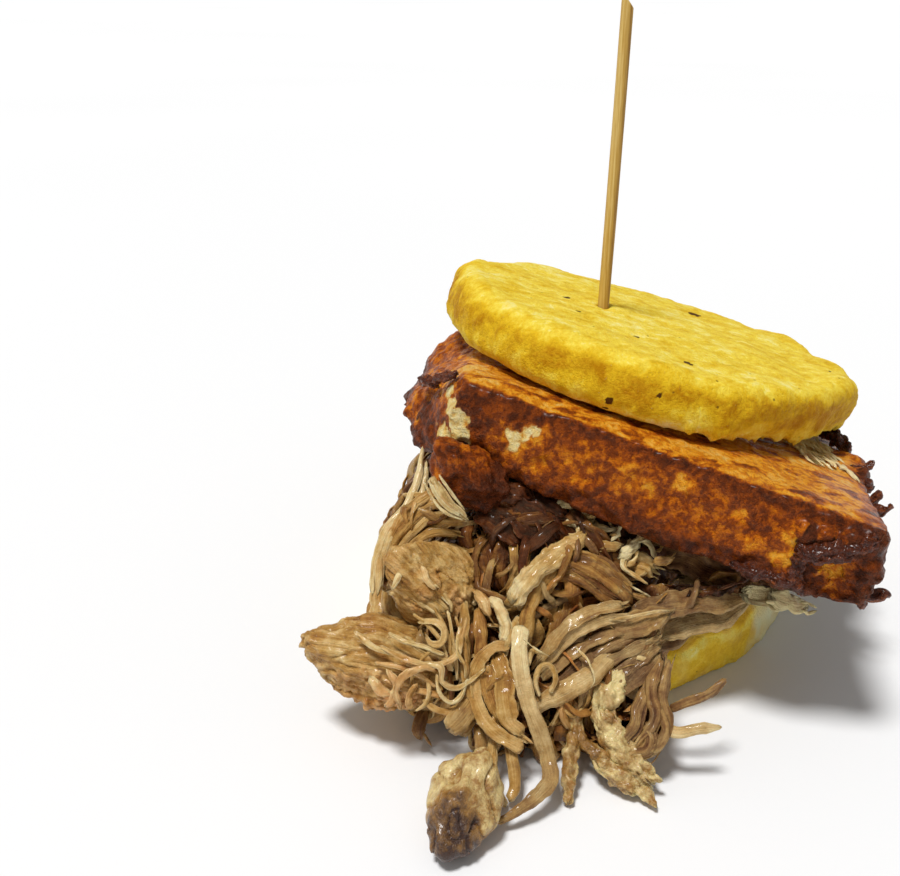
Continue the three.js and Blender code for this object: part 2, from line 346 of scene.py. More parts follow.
@dataclass(frozen=True)
class CornFinish:
    """Cooked yellow corn dough: mottled, deeper yellow on the rim, with small scorched specks."""

    name: str
    pale: str = "FAEC96"
    bright: str = "F5DA4C"
    middle: str = "E6BB20"
    deep: str = "B97F04"
    scorch: str = "54300C"
    # The film colour is partly the pale film itself and partly painted light, made paler against the shade
    # under the filling.
    damp: str = "ECE8BC"

    def make(self) -> Material:
        """Builds the material.

        Returns:
            The material.
        """
        r = Recipe(self.name)
        rim = r.read("rim")
        broad = r.noise(r.place, 16, 3, 0.6, 0.4)
        medium = r.noise(r.place, 4.0, 4, 0.62, 0.5)
        fine = r.noise(r.place, 0.8, 3, 0.7)
        drawn = r.noise(r.stretch(r.place, (3.6, 1.0, 1.2), 24), 2.2, 4, 0.62, 0.4)
        flow = drawn * (1 - rim) + r.noise(r.place, 2.2, 4, 0.62, 0.4) * rim
        shade = 0.5 * broad + 0.85 * medium + 0.5 * fine + 0.45 * flow + 0.34 * rim - 0.74
        tones = ((0.16, self.pale), (0.34, self.bright), (0.56, self.middle), (0.9, self.deep))
        base = r.ramp(shade, *tones)
        seams = drawn.step(0.62, 0.76) * (1 - rim) * 0.35
        base = r.mix(seams, base, colour("A98A1E"))
        flecks = fine.step(0.66, 0.78) * medium.step(0.35, 0.6) * 0.5
        base = r.mix(flecks, base, colour("FAEFA8"))
        crust = (r.noise(r.place, 7, 4, 0.7, 0.6) + 0.16 * rim).step(0.62, 0.84)
        base = r.mix(crust * 0.4, base, colour("B77A0C"))
        base = r.mix(r.read("damp"), base, colour(self.damp))
        dots = 1 - r.cells(r.place, 4.4).step(0.035, 0.09)
        chosen = r.cells(r.place, 4.4, "Color").step(0.5, 0.62)
        base = r.mix(dots * chosen * 0.8, base, colour("7A5414"))
        burnt = (r.read("char") + 0.3 * fine - 0.15).step(0.2, 0.55)
        base = r.mix(burnt, base, colour(self.scorch))
        relief = 0.4 * medium + 0.5 * fine + 0.4 * r.noise(r.place, 0.35, 2) + 0.3 * flow
        rough = (0.62 - 0.3 * r.read("damp") + 0.1 * fine).clip()
        return r.finish(
            base, rough, r.bump(relief, 0.8), Subsurface_Weight=0.1, Subsurface_Radius=(1.0, 0.6, 0.2),
            Subsurface_Scale=0.0015, Specular_IOR_Level=0.16, Specular_Tint=(1, 0.8, 0.4, 1),
        )


@dataclass(frozen=True)
class CrustFinish:
    """Fried cheese: red-brown over golden orange, pale where torn, nearly black where it caught."""

    name: str
    cream: str = "F4C468"
    golden: str = "F6A826"
    orange: str = "CE700A"
    rust: str = "99460C"
    brown: str = "70300C"
    dark: str = "441A0A"

    def make(self) -> Material:
        """Builds the material.

        Returns:
            The material.
        """
        r = Recipe(self.name)
        blotch = r.noise(r.place, 2.8, 3, 0.6, 0.5)
        fleck = r.noise(r.place, 1.5, 4, 0.6, 0.3)
        fine = r.noise(r.place, 0.5, 3, 0.7, 0.2)
        mottle = 0.42 * (blotch - 0.5) + 0.36 * (fleck - 0.5) + 0.24 * (fine - 0.5)
        mottle = mottle + 0.17 * (fleck.step(0.42, 0.6) - 0.5)
        # The bake mark is the browning; on the slab's top it also holds painted shade under the upper cake.
        shade = r.read("bake") + (0.66 + 0.34 * r.read("bake").step(0.2, 0.45)) * mottle
        light = ((0.0, self.cream), (0.14, self.golden), (0.3, self.orange))
        dark = ((0.47, self.rust), (0.64, self.brown), (0.86, self.dark))
        base = r.ramp(shade, *light, *dark)
        broken = r.read("torn") + 0.5 * fleck + 0.2 * fine - 0.35
        base = r.mix(broken.step(0.22, 0.46) * 0.7, base, colour("D08430"))
        ragged = broken.step(0.4, 0.62)
        torn = r.ramp(fleck, (0.32, "DC9430"), (0.45, "F0CC78"), (0.66, "FBEBB0"))
        base = r.mix(ragged, base, torn)
        burnt = (r.read("char") + 0.5 * blotch + 0.3 * fleck - 0.4).step(0.35, 0.7)
        base = r.mix(burnt, base, r.ramp(fleck, (0.35, "35150A"), (0.68, "7C3A1A")))
        relief = 0.5 * blotch + 0.8 * fleck + 0.5 * fine + 0.3 * r.noise(r.place, 0.28, 2)
        rough = (0.3 + 0.3 * fine + 0.25 * ragged - 0.22 * r.read("bake")).clip()
        return r.finish(
            base, rough, r.bump(relief, 1.3), Subsurface_Weight=0.06, Subsurface_Radius=(1.0, 0.4, 0.1),
            Subsurface_Scale=0.0012, Specular_IOR_Level=0.24, Specular_Tint=(1, 0.62, 0.36, 1),
            Coat_Weight=0.13, Coat_Roughness=0.24,
        )


@dataclass(frozen=True)
class MeatFinish:
    """Moist pulled pork: lengthwise fibres from cream to dark brown, with a wet sheen and painted glints."""

    name: str
    tones: tuple[str, ...] = ("EBD6A2", "D4B274", "B48844", "875A28", "562A0E", "2A0E02")
    wet: float = 0.2

    def make(self) -> Material:
        """Builds the material.

        Returns:
            The material.
        """
        r = Recipe(self.name)
        grain = r.read("grain", "Vector")
        streak = r.noise(grain, 0.8, 3, 0.6)
        thread = r.noise(r.stretch(grain, (1.0, 1.0, 2.5)), 0.2, 2, 0.6)
        blotch = r.noise(r.place, 2.8, 4, 0.62, 0.3)
        sparkle = r.noise(r.place, 0.26, 2, 0.6)
        shade = r.read("tone") + 0.3 * (streak - 0.5) + 0.34 * (thread - 0.5)
        shade = shade + 0.72 * (blotch - 0.5) - 0.12 * r.read("tip")
        places = np.linspace(0, 1, len(self.tones)).tolist()
        base = r.ramp(shade, *zip(places, self.tones))
        hue = r.read("hue") + 0.9 * (r.noise(r.place, 5, 2) - 0.5)
        base = r.mix(hue.clip() * 0.22, base, colour("808080"), "SATURATION")
        base = r.mix(hue.clip() * 0.42, base, colour("949C70"), "OVERLAY")
        base = r.mix((0.0 - hue).clip() * 0.5, base, colour("B4612E"), "OVERLAY")
        # Painted highlights: small pale glints along the fibres.
        painted_glints = thread.step(0.62, 0.72) * r.noise(r.place, 1.2, 2).step(0.5, 0.62) * 0.4
        base = r.mix(painted_glints, base, colour("F0DDAA"))
        relief = 0.3 * streak + 0.5 * thread + 0.3 * r.noise(r.place, 0.6, 3) + 0.42 * sparkle
        rough = (0.14 + 0.34 * blotch + 0.2 * thread).clip()
        return r.finish(
            base, rough, r.bump(relief, 0.5), Subsurface_Weight=0.12, Subsurface_Radius=(1.0, 0.55, 0.3),
            Subsurface_Scale=0.001, Specular_IOR_Level=0.3, Specular_Tint=(1.0, 0.8, 0.5, 1.0),
            Coat_Weight=self.wet, Coat_Roughness=0.1,
        )


@dataclass(frozen=True)
class FatFinish:
    """Cooked fat and gristle: slightly clear, yellowish, browned in places, wet."""

    name: str
    pale: str = "E2CB8C"
    amber: str = "9C7030"
    brown: str = "3C1E08"

    def make(self) -> Material:
        """Builds the material.

        Returns:
            The material.
        """
        r = Recipe(self.name)
        blotch = r.noise(r.place, 3.0, 3, 0.6, 0.5)
        fine = r.noise(r.place, 0.7, 3, 0.65)
        shade = 1.0 * blotch + 0.45 * fine + r.read("tone") - 0.56
        base = r.ramp(shade, (0.15, self.pale), (0.5, self.amber), (0.95, self.brown))
        relief = 0.6 * fine + 0.5 * r.noise(r.place, 0.35, 2)
        return r.finish(
            base, (0.2 + 0.35 * blotch).clip(), r.bump(relief, 0.35), Subsurface_Weight=0.2,
            Subsurface_Radius=(1.0, 0.6, 0.3), Subsurface_Scale=0.0015, Coat_Weight=0.26, Coat_Roughness=0.15,
        )


@dataclass(frozen=True)
class CharFinish:
    """Crumbs of crust that caught on the pan: glossy, nearly black with rusty edges."""

    name: str

    def make(self) -> Material:
        """Builds the material.

        Returns:
            The material.
        """
        r = Recipe(self.name)
        fleck = r.noise(r.place, 1.1, 4, 0.65, 0.5)
        fine = r.noise(r.place, 0.35, 2)
        shade = fleck + 0.3 * fine - 0.15 + r.read("tone")
        base = r.ramp(shade, (0.3, "9A5022"), (0.52, "5E2810"), (0.85, "2C1008"))
        return r.finish(
            base, 0.12 + 0.3 * fine, r.bump(fleck + 0.6 * fine, 1.2), Specular_IOR_Level=0.3,
            Coat_Weight=0.3, Coat_Roughness=0.12,
        )


@dataclass(frozen=True)
class BambooFinish:
    """Split bamboo: a straight grain with darker threads along it, and painted shade on one side."""

    name: str
    pale: str = "E8CB80"
    tan: str = "C89E4A"
    dark: str = "8A6226"

    def make(self) -> Material:
        """Builds the material.

        Returns:
            The material.
        """
        r = Recipe(self.name)
        along = r.stretch(r.place, (1.0, 1.0, 30.0))
        grain = r.noise(along, 0.5, 4, 0.6)
        thread = r.noise(along, 0.18, 2, 0.6)
        # The side mark is painted shade: the stick's right and back, turned away from the key light, are
        # darker.
        side = r.read("side")
        shade = 0.7 * grain + 0.35 * thread + 0.32 * side - 0.05
        base = r.ramp(shade, (0.3, self.pale), (0.58, self.tan), (0.9, self.dark))
        relief = r.bump(0.6 * grain + 0.5 * thread, 0.18)
        return r.finish(base, 0.5 + 0.2 * grain, relief, Specular_IOR_Level=0.3)


@dataclass(frozen=True)
class StudioFinish:
    """The plain pale floor."""

    name: str = "studio_floor"
    shades: tuple[float, float] = (0.86, 0.88)

    def make(self) -> Material:
        """Builds the material.

        Returns:
            The material.
        """
        r = Recipe(self.name)
        dim, clear = ((shade, shade, shade, 1.0) for shade in self.shades)
        tint = r.mix(r.noise(r.place, 900, 1).step(0.3, 0.7, "LINEAR"), dim, clear)
        return r.finish(tint, 0.9, None, Specular_IOR_Level=0.0)


# ---- Mesh helpers ----


def shown(name: str, data: bpy.types.ID) -> bpy.types.Object:
    """Puts an object with some data into the scene."""
    obj = bpy.data.objects.new(name, data)
    bpy.context.scene.collection.objects.link(obj)
    return obj


@dataclass
class Body:
    """Points and faces of a piece under construction, in mm, with a number or vector a point."""

    points: Array
    faces: list
    marks: dict[str, Array] = field(default_factory=dict)

    def normals(self) -> Array:
        """Returns the outward direction at each point."""
        quads = np.array([f if len(f) == 4 else (*f, f[-1]) for f in self.faces])
        corner = self.points[quads]
        flat = np.cross(corner[:, 2] - corner[:, 0], corner[:, 3] - corner[:, 1])
        total = np.zeros_like(self.points)
        for i in range(4):
            np.add.at(total, quads[:, i], flat)
        return unit(total)

    def swell(self, amount: Array) -> None:
        """Moves each point outwards by its amount, in mm."""
        self.points = self.points + self.normals() * amount[:, None]

    def pull(self, *pulls: Pull) -> None:
        """Pushes the points, one soft push after another."""
        for pull in pulls:
            self.points = pull.push(self.points)

    def rest(self, lowest: float) -> None:
        """Keeps every point at or above a height, in mm."""
        self.points[:, 2] = np.maximum(self.points[:, 2], lowest)

    def piece(
        self, name: str, finish: Material, slot: str, *nodes: str
    ) -> bpy.types.Object:
        """Makes the Blender object.

        Args:
            name: its name.
            finish: its material.
            slot: the name of a material slot; not used.
            nodes: the CAD nodes it stands for.

        Returns:
            The object, riding on the root.
        """
        mesh = bpy.data.meshes.new(name)
        mesh.from_pydata((self.points * MM).tolist(), [], [list(map(int, f)) for f in self.faces])
        for key, values in self.marks.items():
            kind, entry = ("FLOAT_VECTOR", "vector") if values.ndim == 2 else ("FLOAT", "value")
            mark = mesh.attributes.new(key, kind, "POINT")
            mark.data.foreach_set(entry, values.astype(np.float32).ravel())
        mesh.shade_smooth()
        mesh.materials.append(finish)
        obj = shown(name, mesh)
        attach(obj, "root")
        if nodes:
            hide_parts(*nodes)
        log.info("%s: %d faces", name, len(mesh.polygons))
        return obj


def skin_of(node: str, step: float, relax: int) -> Body:
    """Copies a CAD node as an even skin of small faces.

    Args:
        node: the CAD node.
        step: the size of a face, in mm.
        relax: how many times the skin is smoothed.

    Returns:
        The skin.
    """
    copy = shown("work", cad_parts[node].data.copy())
    even = copy.modifiers.new("even", "REMESH")
    even.mode = "VOXEL"
    even.voxel_size = step * MM
    soft = copy.modifiers.new("soft", "SMOOTH")
    soft.iterations = relax
    bpy.context.view_layer.update()
    done = copy.evaluated_get(bpy.context.evaluated_depsgraph_get())
    result = bpy.data.meshes.new_from_object(done)
    points = np.empty(len(result.vertices) * 3)
    result.vertices.foreach_get("co", points)
    faces = [tuple(p.vertices) for p in result.polygons]
    bpy.data.objects.remove(copy)
    bpy.data.meshes.remove(result)
    return Body(points.reshape(-1, 3) / MM, faces)


def surface_of(node: str) -> BVHTree:
    """Returns a CAD node's surface for finding near points, in mm."""
    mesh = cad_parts[node].data
    points = [v.co / MM for v in mesh.vertices]
    return BVHTree.FromPolygons(points, [tuple(p.vertices) for p in mesh.polygons])


@dataclass(frozen=True)
class Pose:
    """Where a tilted piece lies: a point and the two tilts, in mm and degrees."""

    x: float
    y: float
    z: float
    tilt_right: float
    tilt_back: float

    def _turn(self) -> Array:
        """Returns the turn from the piece's own axes to the frame's."""
        a, b = math.radians(self.tilt_right), math.radians(-self.tilt_back)
        c, s = math.cos(a), math.sin(a)
        about_y = np.array([[c, 0, s], [0, 1, 0], [-s, 0, c]])
        c, s = math.cos(b), math.sin(b)
        about_x = np.array([[1, 0, 0], [0, c, -s], [0, s, c]])
        return about_x @ about_y

    def inside(self, points: Array) -> Array:
        """Turns points of the frame into the piece's own axes."""
        return (points - (self.x, self.y, self.z)) @ self._turn()

    def directions(self, vectors: Array) -> Array:
        """Turns directions of the frame into the piece's own axes."""
        return vectors @ self._turn()


# ---- Strips of meat ----


@dataclass(frozen=True)
class Strip:
    """One torn strip of meat, fat or crust, drawn along a route in mm."""

    route: Sequence[Sequence[float]]
    width: float
    thick: float
    tone: float = 0.4
    fade: float = 0.0
    hue: float = 0.0
    ends: tuple[float, float] = (0.7, 0.55)
    curl: float = 0.0
    twist: float = 0.0
    roll: float = 0.0
    grooves: float = 0.16
    lumps: float = 0.08
    torn: float = 0.5
    face: Place = (0.0, -0.73, 0.68)
    step: float = 0.5


class StripMaker:
    """Builds many strips into one body."""

    ROWS = (8, 150)  # the fewest and the most rows along a strip
    SIDES = (7, 84)  # the fewest and the most points round it

    def __init__(self, seed: int) -> None:
        """Starts with no strips."""
        self.grain = Grain(seed)
        self.rng = np.random.default_rng(seed)
        self.points: list[Array] = []
        self.faces: list = []
        self.marks: dict[str, list[Array]] = {"grain": [], "tone": [], "hue": [], "tip": []}
        self.total = 0

    @staticmethod
    def course(route: Array, count: int) -> Array:
        """Places evenly spaced points on a smooth curve through a route.

        Args:
            route: the points to pass through.
            count: how many points to place.

        Returns:
            The points.
        """
        ends = np.vstack([2 * route[0] - route[1], route, 2 * route[-1] - route[-2]])
        t = np.linspace(0, 1, 16, endpoint=False)[:, None]
        dense = []
        for p0, p1, p2, p3 in zip(ends, ends[1:], ends[2:], ends[3:]):
            bend = (2 * p0 - 5 * p1 + 4 * p2 - p3) * t**2 + (3 * p1 - p0 - 3 * p2 + p3) * t**3
            dense.append(0.5 * (2 * p1 + (p2 - p0) * t + bend))
        dense = np.vstack([*dense, route[-1:]])
        far = np.concatenate([[0], np.cumsum(np.linalg.norm(np.diff(dense, axis=0), axis=1))])
        wanted = np.linspace(0, far[-1], count)
        return np.stack([np.interp(wanted, far, dense[:, i]) for i in range(3)], axis=1)

    def _frames(self, strip: Strip, run: Array) -> tuple[Array, Array, Array]:
        """Finds the run, across and up directions of a strip at each point.

        Args:
            strip: the strip.
            run: its middle line.

        Returns:
            Tangents, across and up directions.
        """
        tangent = unit(np.gradient(run, axis=0))
        across = np.empty_like(tangent)
        last = None
        face = unit(np.array(strip.face, float))
        for i, t in enumerate(tangent):
            wanted = np.cross(t, face)
            if last is None:
                last = wanted if np.linalg.norm(wanted) > 0.05 else np.cross(t, (1.0, 0.2, 0.1))
            kept = last - t * np.dot(last, t)
            sign = 1 if np.dot(wanted, kept) >= 0 else -1
            last = unit(unit(kept) * 0.8 + sign * wanted * 0.2)
            last = unit(last - t * np.dot(last, t))
            across[i] = last
        up = np.cross(across, tangent)
        wander = (6 + 14 * strip.torn) * self.grain.at(run + self.rng.uniform(0, 99, 3), 4.0)
        turn = np.radians(strip.roll + strip.twist * np.linspace(0, 1, len(run)) + wander)[:, None]
        c, d = np.cos(turn), np.sin(turn)
        return tangent, across * c + up * d, up * c - across * d

    def add(self, strip: Strip) -> None:
        """Builds a strip, with loose fibres at its torn ends.

        Args:
            strip: the strip to add.
        """
        route = np.array(strip.route, float)
        length = np.linalg.norm(np.diff(route, axis=0), axis=1).sum()
        rows = int(np.clip(length / (strip.step * 1.3), *self.ROWS))
        sides = int(np.clip((strip.width + strip.thick) * 1.9 / strip.step, *self.SIDES))
        run = self.course(route, rows)
        tangent, across, up = self._frames(strip, run)
        s = np.linspace(0, 1, rows)
        along = s * length
        offset = self.rng.uniform(0, 200, 3)

        near_end = np.minimum(along, length - along) / max(strip.width, 0.6)
        ends = np.where(s < 0.5, strip.ends[0], strip.ends[1])
        share = ends + (1 - ends) * ease(np.abs(0.5 - np.abs(s - 0.5)) * 2, 0.0, 0.62)
        loose = 0.25 + 0.75 * strip.torn
        share *= 1 + 0.36 * loose * self.grain.layers(np.outer(along, (1, 0, 0)) + offset, 3.4, 3)
        close = np.sqrt(np.clip(1 - (1 - np.clip(near_end / 0.3, 0, 1)) ** 2, 0.03, 1))

        angle = np.linspace(0, 2 * math.pi, sides, endpoint=False)
        c, d = np.cos(angle), np.sin(angle)
        flat_x = np.sign(c) * np.abs(c) ** 0.75
        x = (flat_x[None] * (share * close)[:, None]) * strip.width / 2
        flat_y = np.sign(d) * np.abs(d) ** 0.9
        y = flat_y[None] * ((0.35 + 0.65 * share) * close)[:, None] * strip.thick / 2
        y = y + strip.curl * strip.width * (flat_x[None] ** 2 - 0.35) * close[:, None]
        reach = np.broadcast_to(along[:, None] * 0.6, x.shape)
        fold = np.stack([reach, x, x * 0], 2).reshape(-1, 3)
        folds = self.grain.at(fold + offset + 4, 1.6).reshape(x.shape)
        y = y + 0.2 * loose * min(strip.width, 3) * folds * close[:, None]
        sway = self.grain.at(np.outer(along, (1, 0, 0)) + offset + 9, 3.0)
        x = x + 0.1 * loose * strip.width * sway[:, None]

        grid = np.stack(
            [
                np.broadcast_to(c[None] * strip.width / 2, x.shape),
                np.broadcast_to(d[None] * max(strip.thick, strip.width * 0.35) / 2, x.shape),
                np.broadcast_to(along[:, None] * 0.06, x.shape),
            ],
            axis=2,
        ).reshape(-1, 3) + offset
        bundle = self.grain.at(grid, min(1.5, 0.5 * strip.width + 0.2))
        threads = self.grain.at(grid * (1, 1, 2) + 50, 0.5)
        split = crest(bundle, 0.14)
        crease = -1.7 * split + 0.55 * bundle + 0.55 * threads
        places = run[:, None] + across[:, None] * x[..., None] + up[:, None] * y[..., None]
        places = places.reshape(-1, 3)
        lump = self.grain.layers(places + offset, 1.6, 3) * strip.lumps
        amount = (crease * strip.grooves + lump).reshape(rows, sides) * close[:, None] ** 0.5
        outward = across[:, None] * (c[None] * 0.7)[..., None] + up[:, None] * d[None, :, None]
        rim_places = np.stack([c * 1.3, d * 0.8, c * 0], 1) * max(strip.width, 1) / 2
        ragged = self.grain.layers(rim_places + offset, 0.8, 2)
        close_by = np.exp(-((near_end / 0.8) ** 2))[:, None]
        pull = close_by * ragged[None] * strip.width * 0.6 * strip.torn
        sign = np.where(s < 0.5, -1, 1)[:, None]
        places = places.reshape(rows, sides, 3) + outward * amount[..., None]
        places = places + tangent[:, None] * (pull * sign)[..., None]
        places[..., 2] = np.maximum(places[..., 2], LOWEST_STRIP)

        first = self.total
        self.points.append(np.vstack([places.reshape(-1, 3), run[:1], run[-1:]]))
        here = first + np.arange(rows * sides).reshape(rows, sides)
        nxt = np.roll(here, -1, axis=1)
        quads = np.stack([here[:-1], here[1:], nxt[1:], nxt[:-1]], axis=2).reshape(-1, 4)
        self.faces.extend(quads.tolist())
        root, tip = first + rows * sides, first + rows * sides + 1
        self.faces.extend([(root, int(a), int(b)) for a, b in zip(here[0], nxt[0])])
        self.faces.extend([(tip, int(b), int(a)) for a, b in zip(here[-1], nxt[-1])])
        self.total += rows * sides + 2

        closing = np.array([[0, 0, 0], [0, 0, length * 0.06]]) + offset
        self.marks["grain"].append(np.vstack([grid, closing]))
        slow = np.repeat(strip.fade * s, sides)
        rim = np.tile(np.abs(c) ** 6, rows)
        # Painted shade: the tone darkens along the splits between fibres, as deep as the strip's grooves.
        tone = strip.tone + slow + 0.07 * bundle + strip.grooves * split - 0.1 * rim
        self.marks["tone"].append(np.concatenate([tone, [strip.tone, strip.tone + strip.fade]]))
        self.marks["hue"].append(np.full(rows * sides + 2, strip.hue))
        tip_mark = np.repeat(np.exp(-near_end), sides)
        self.marks["tip"].append(np.concatenate([tip_mark, [1, 1]]))
        if strip.torn >= 0.5 and strip.width >= 1.5:
            self._fray(strip, run, tangent, across, up)

    def _fray(
        self, strip: Strip, run: Array, tangent: Array, across: Array, up: Array
    ) -> None:
        """Adds the loose fibres at a strip's far end, and at its near end half the time, at random.

        Args:
            strip: the strip.
            run: its middle line.
            tangent: its direction at each point.
            across: its flat side's direction at each point.
            up: its thin side's direction at each point.
        """
        for end, way in ((-1, 1.0), (0, -1.0)):
            if end == 0 and self.rng.random() > 0.5:
                continue
            inner = -1 - max(1, len(run) // 6) if end == -1 else max(1, len(run) // 6)
            for _ in range(self.rng.integers(1, 4)):
                side = self.rng.uniform(-0.42, 0.42) * strip.width
                reach = self.rng.uniform(0.2, 0.8) * min(strip.width, 3.0)
                start = run[inner] + across[inner] * side * 0.8 + up[inner] * strip.thick * 0.15
                middle = run[end] + across[end] * side * 1.1 + tangent[end] * way * reach * 0.2
                drift = across[end] * self.rng.normal(0, 0.35) + up[end] * self.rng.normal(0, 0.4)
                last = middle + (tangent[end] * way + drift) * reach
                width = strip.width * self.rng.uniform(0.12, 0.3)
                self.add(
                    Strip(
                        [start, (start + middle) / 2 + up[end] * 0.15, middle, last], width, width * 0.7,
                        tone=strip.tone + (strip.fade if end == -1 else 0.0) - 0.06, hue=strip.hue,
                        ends=(0.8, 0.3), torn=0.2, face=tuple(up[end]), step=strip.step,
                    )
                )

    def body(self) -> Body:
        """Returns every strip so far as one body."""
        marks = {key: np.concatenate(values) for key, values in self.marks.items()}
        return Body(np.vstack(self.points), self.faces, marks)


# ---- The layers ----


@dataclass(frozen=True)
class Spot:
    """A marked place: its middle, its reach and its strength."""

    x: float
    y: float
    z: float
    reach: float
    strength: float = 1.0

    def on(self, points: Array, ragged: Array) -> Array:
        """Returns the mark at each point, given how ragged its outline is there."""
        far = np.linalg.norm(points - (self.x, self.y, self.z), axis=1) + self.reach * ragged
        return self.strength * (1 - ease(far, self.reach * 0.5, self.reach))

    @staticmethod
    def strongest(spots: Sequence[Spot], points: Array, ragged: Array) -> Array:
        """Returns the strongest of several marks at each point."""
        return np.maximum.reduce([spot.on(points, ragged) for spot in spots])


@dataclass(frozen=True)
class Pull:
    """A soft push on a skin: where it acts, which way it moves and how far round it reaches."""

    at: Place
    move: Place
    reach: float

    def push(self, points: Array) -> Array:
        """Returns the moved points."""
        far = np.linalg.norm(points - self.at, axis=1)
        return points + (1 - ease(far, 0, self.reach))[:, None] * np.array(self.move)


@dataclass
class CornCake:
    """A corn cake: a mottled disc with a deeper rim, specks and an uneven outline."""

    node: str
    pose: Pose
    thickness: float
    seed: int
    specks: tuple[Spot, ...] = ()
    pulls: tuple[Pull, ...] = ()
    damp: float = 0.0
    hem: float = 0.0
    step: float = 0.8

    def make(self, finish: Material) -> None:
        """Builds the cake.

        Args:
            finish: its material.
        """
        body = skin_of(self.node, self.step, 2)
        grain = Grain(self.seed)
        body.pull(*self.pulls)
        normals = self.pose.directions(body.normals())
        local = self.pose.inside(body.points)
        side = ease(1 - np.abs(normals[:, 2]), 0.12, 0.7)
        height = local[:, 2] / self.thickness
        frill = ease(grain.at(body.points, 3.2), 0.0, 0.55) * side * ease(0.3 - height, -0.12, 0.25)
        seam = -crest(grain.at(body.points * (1, 1.6, 1), 9), 0.05) * (1 - side)
        body.swell(
            0.55 * grain.at(body.points, 14)
            + 0.26 * grain.layers(body.points, 5.0, 3)
            + 0.13 * grain.layers(body.points, 1.5, 2) * (0.5 + side)
            + 0.7 * frill
            + 0.12 * seam
        )
        down = -normals[:, 2]
        under = ease(0.3 - height, -0.05, 0.2) * ease(down, -0.5, 0.1) * (1 - ease(down, 0.8, 0.97))
        torn = ease(grain.layers(body.points * (1, 1, 0.3), 2.2, 3), -0.3, 0.9)
        body.points[:, 2] -= self.hem * under * torn * ease(body.points[:, 0], 0, 26)
        body.rest(LOWEST_CAKE)
        patch = grain.layers(body.points, 7, 3)
        low = ease(height + 0.3 * patch, 0.05, 0.5)
        paler = 1 - 0.5 * ease(height + 0.25 * patch, 0.6, 1.0)
        body.marks["rim"] = side * (0.15 + 0.85 * low) * paler
        if self.damp:
            # On the soaked cake the rim is darker in a band near its top, with a paler band below; the darker
            # band is partly painted shade under the filling.
            band = height + 0.08 * patch
            stripe = ease(band, 0.7, 0.78) - 0.6 * ease(band, 0.5, 0.6) * ease(0.76 - band, 0, 0.08)
            body.marks["rim"] = side * (0.6 + 0.75 * stripe)
        char = np.zeros(len(body.points))
        if self.specks:
            ragged = 0.35 * grain.layers(body.points, 0.9, 2)
            char = Spot.strongest(self.specks, body.points, ragged)
        body.marks["char"] = np.maximum(char, 0.25 * frill)
        left = ease(-body.points[:, 0], 32, 40)
        right = ease(body.points[:, 0] + 2 * grain.at(body.points, 5), 34, 38)
        film = (1 - side) * ease(height, 0.62, 0.9)
        film = self.damp * np.maximum.reduce([film, 0.8 * left, 0.9 * right])
        film = film + 0.12 * self.damp * ease(grain.at(body.points, 6), 0, 0.5)
        body.marks["damp"] = np.clip(film * (0.85 + 0.5 * grain.at(body.points, 5)), 0, 1)
        body.piece(f"{self.node}_skin", finish, "corn", self.node)


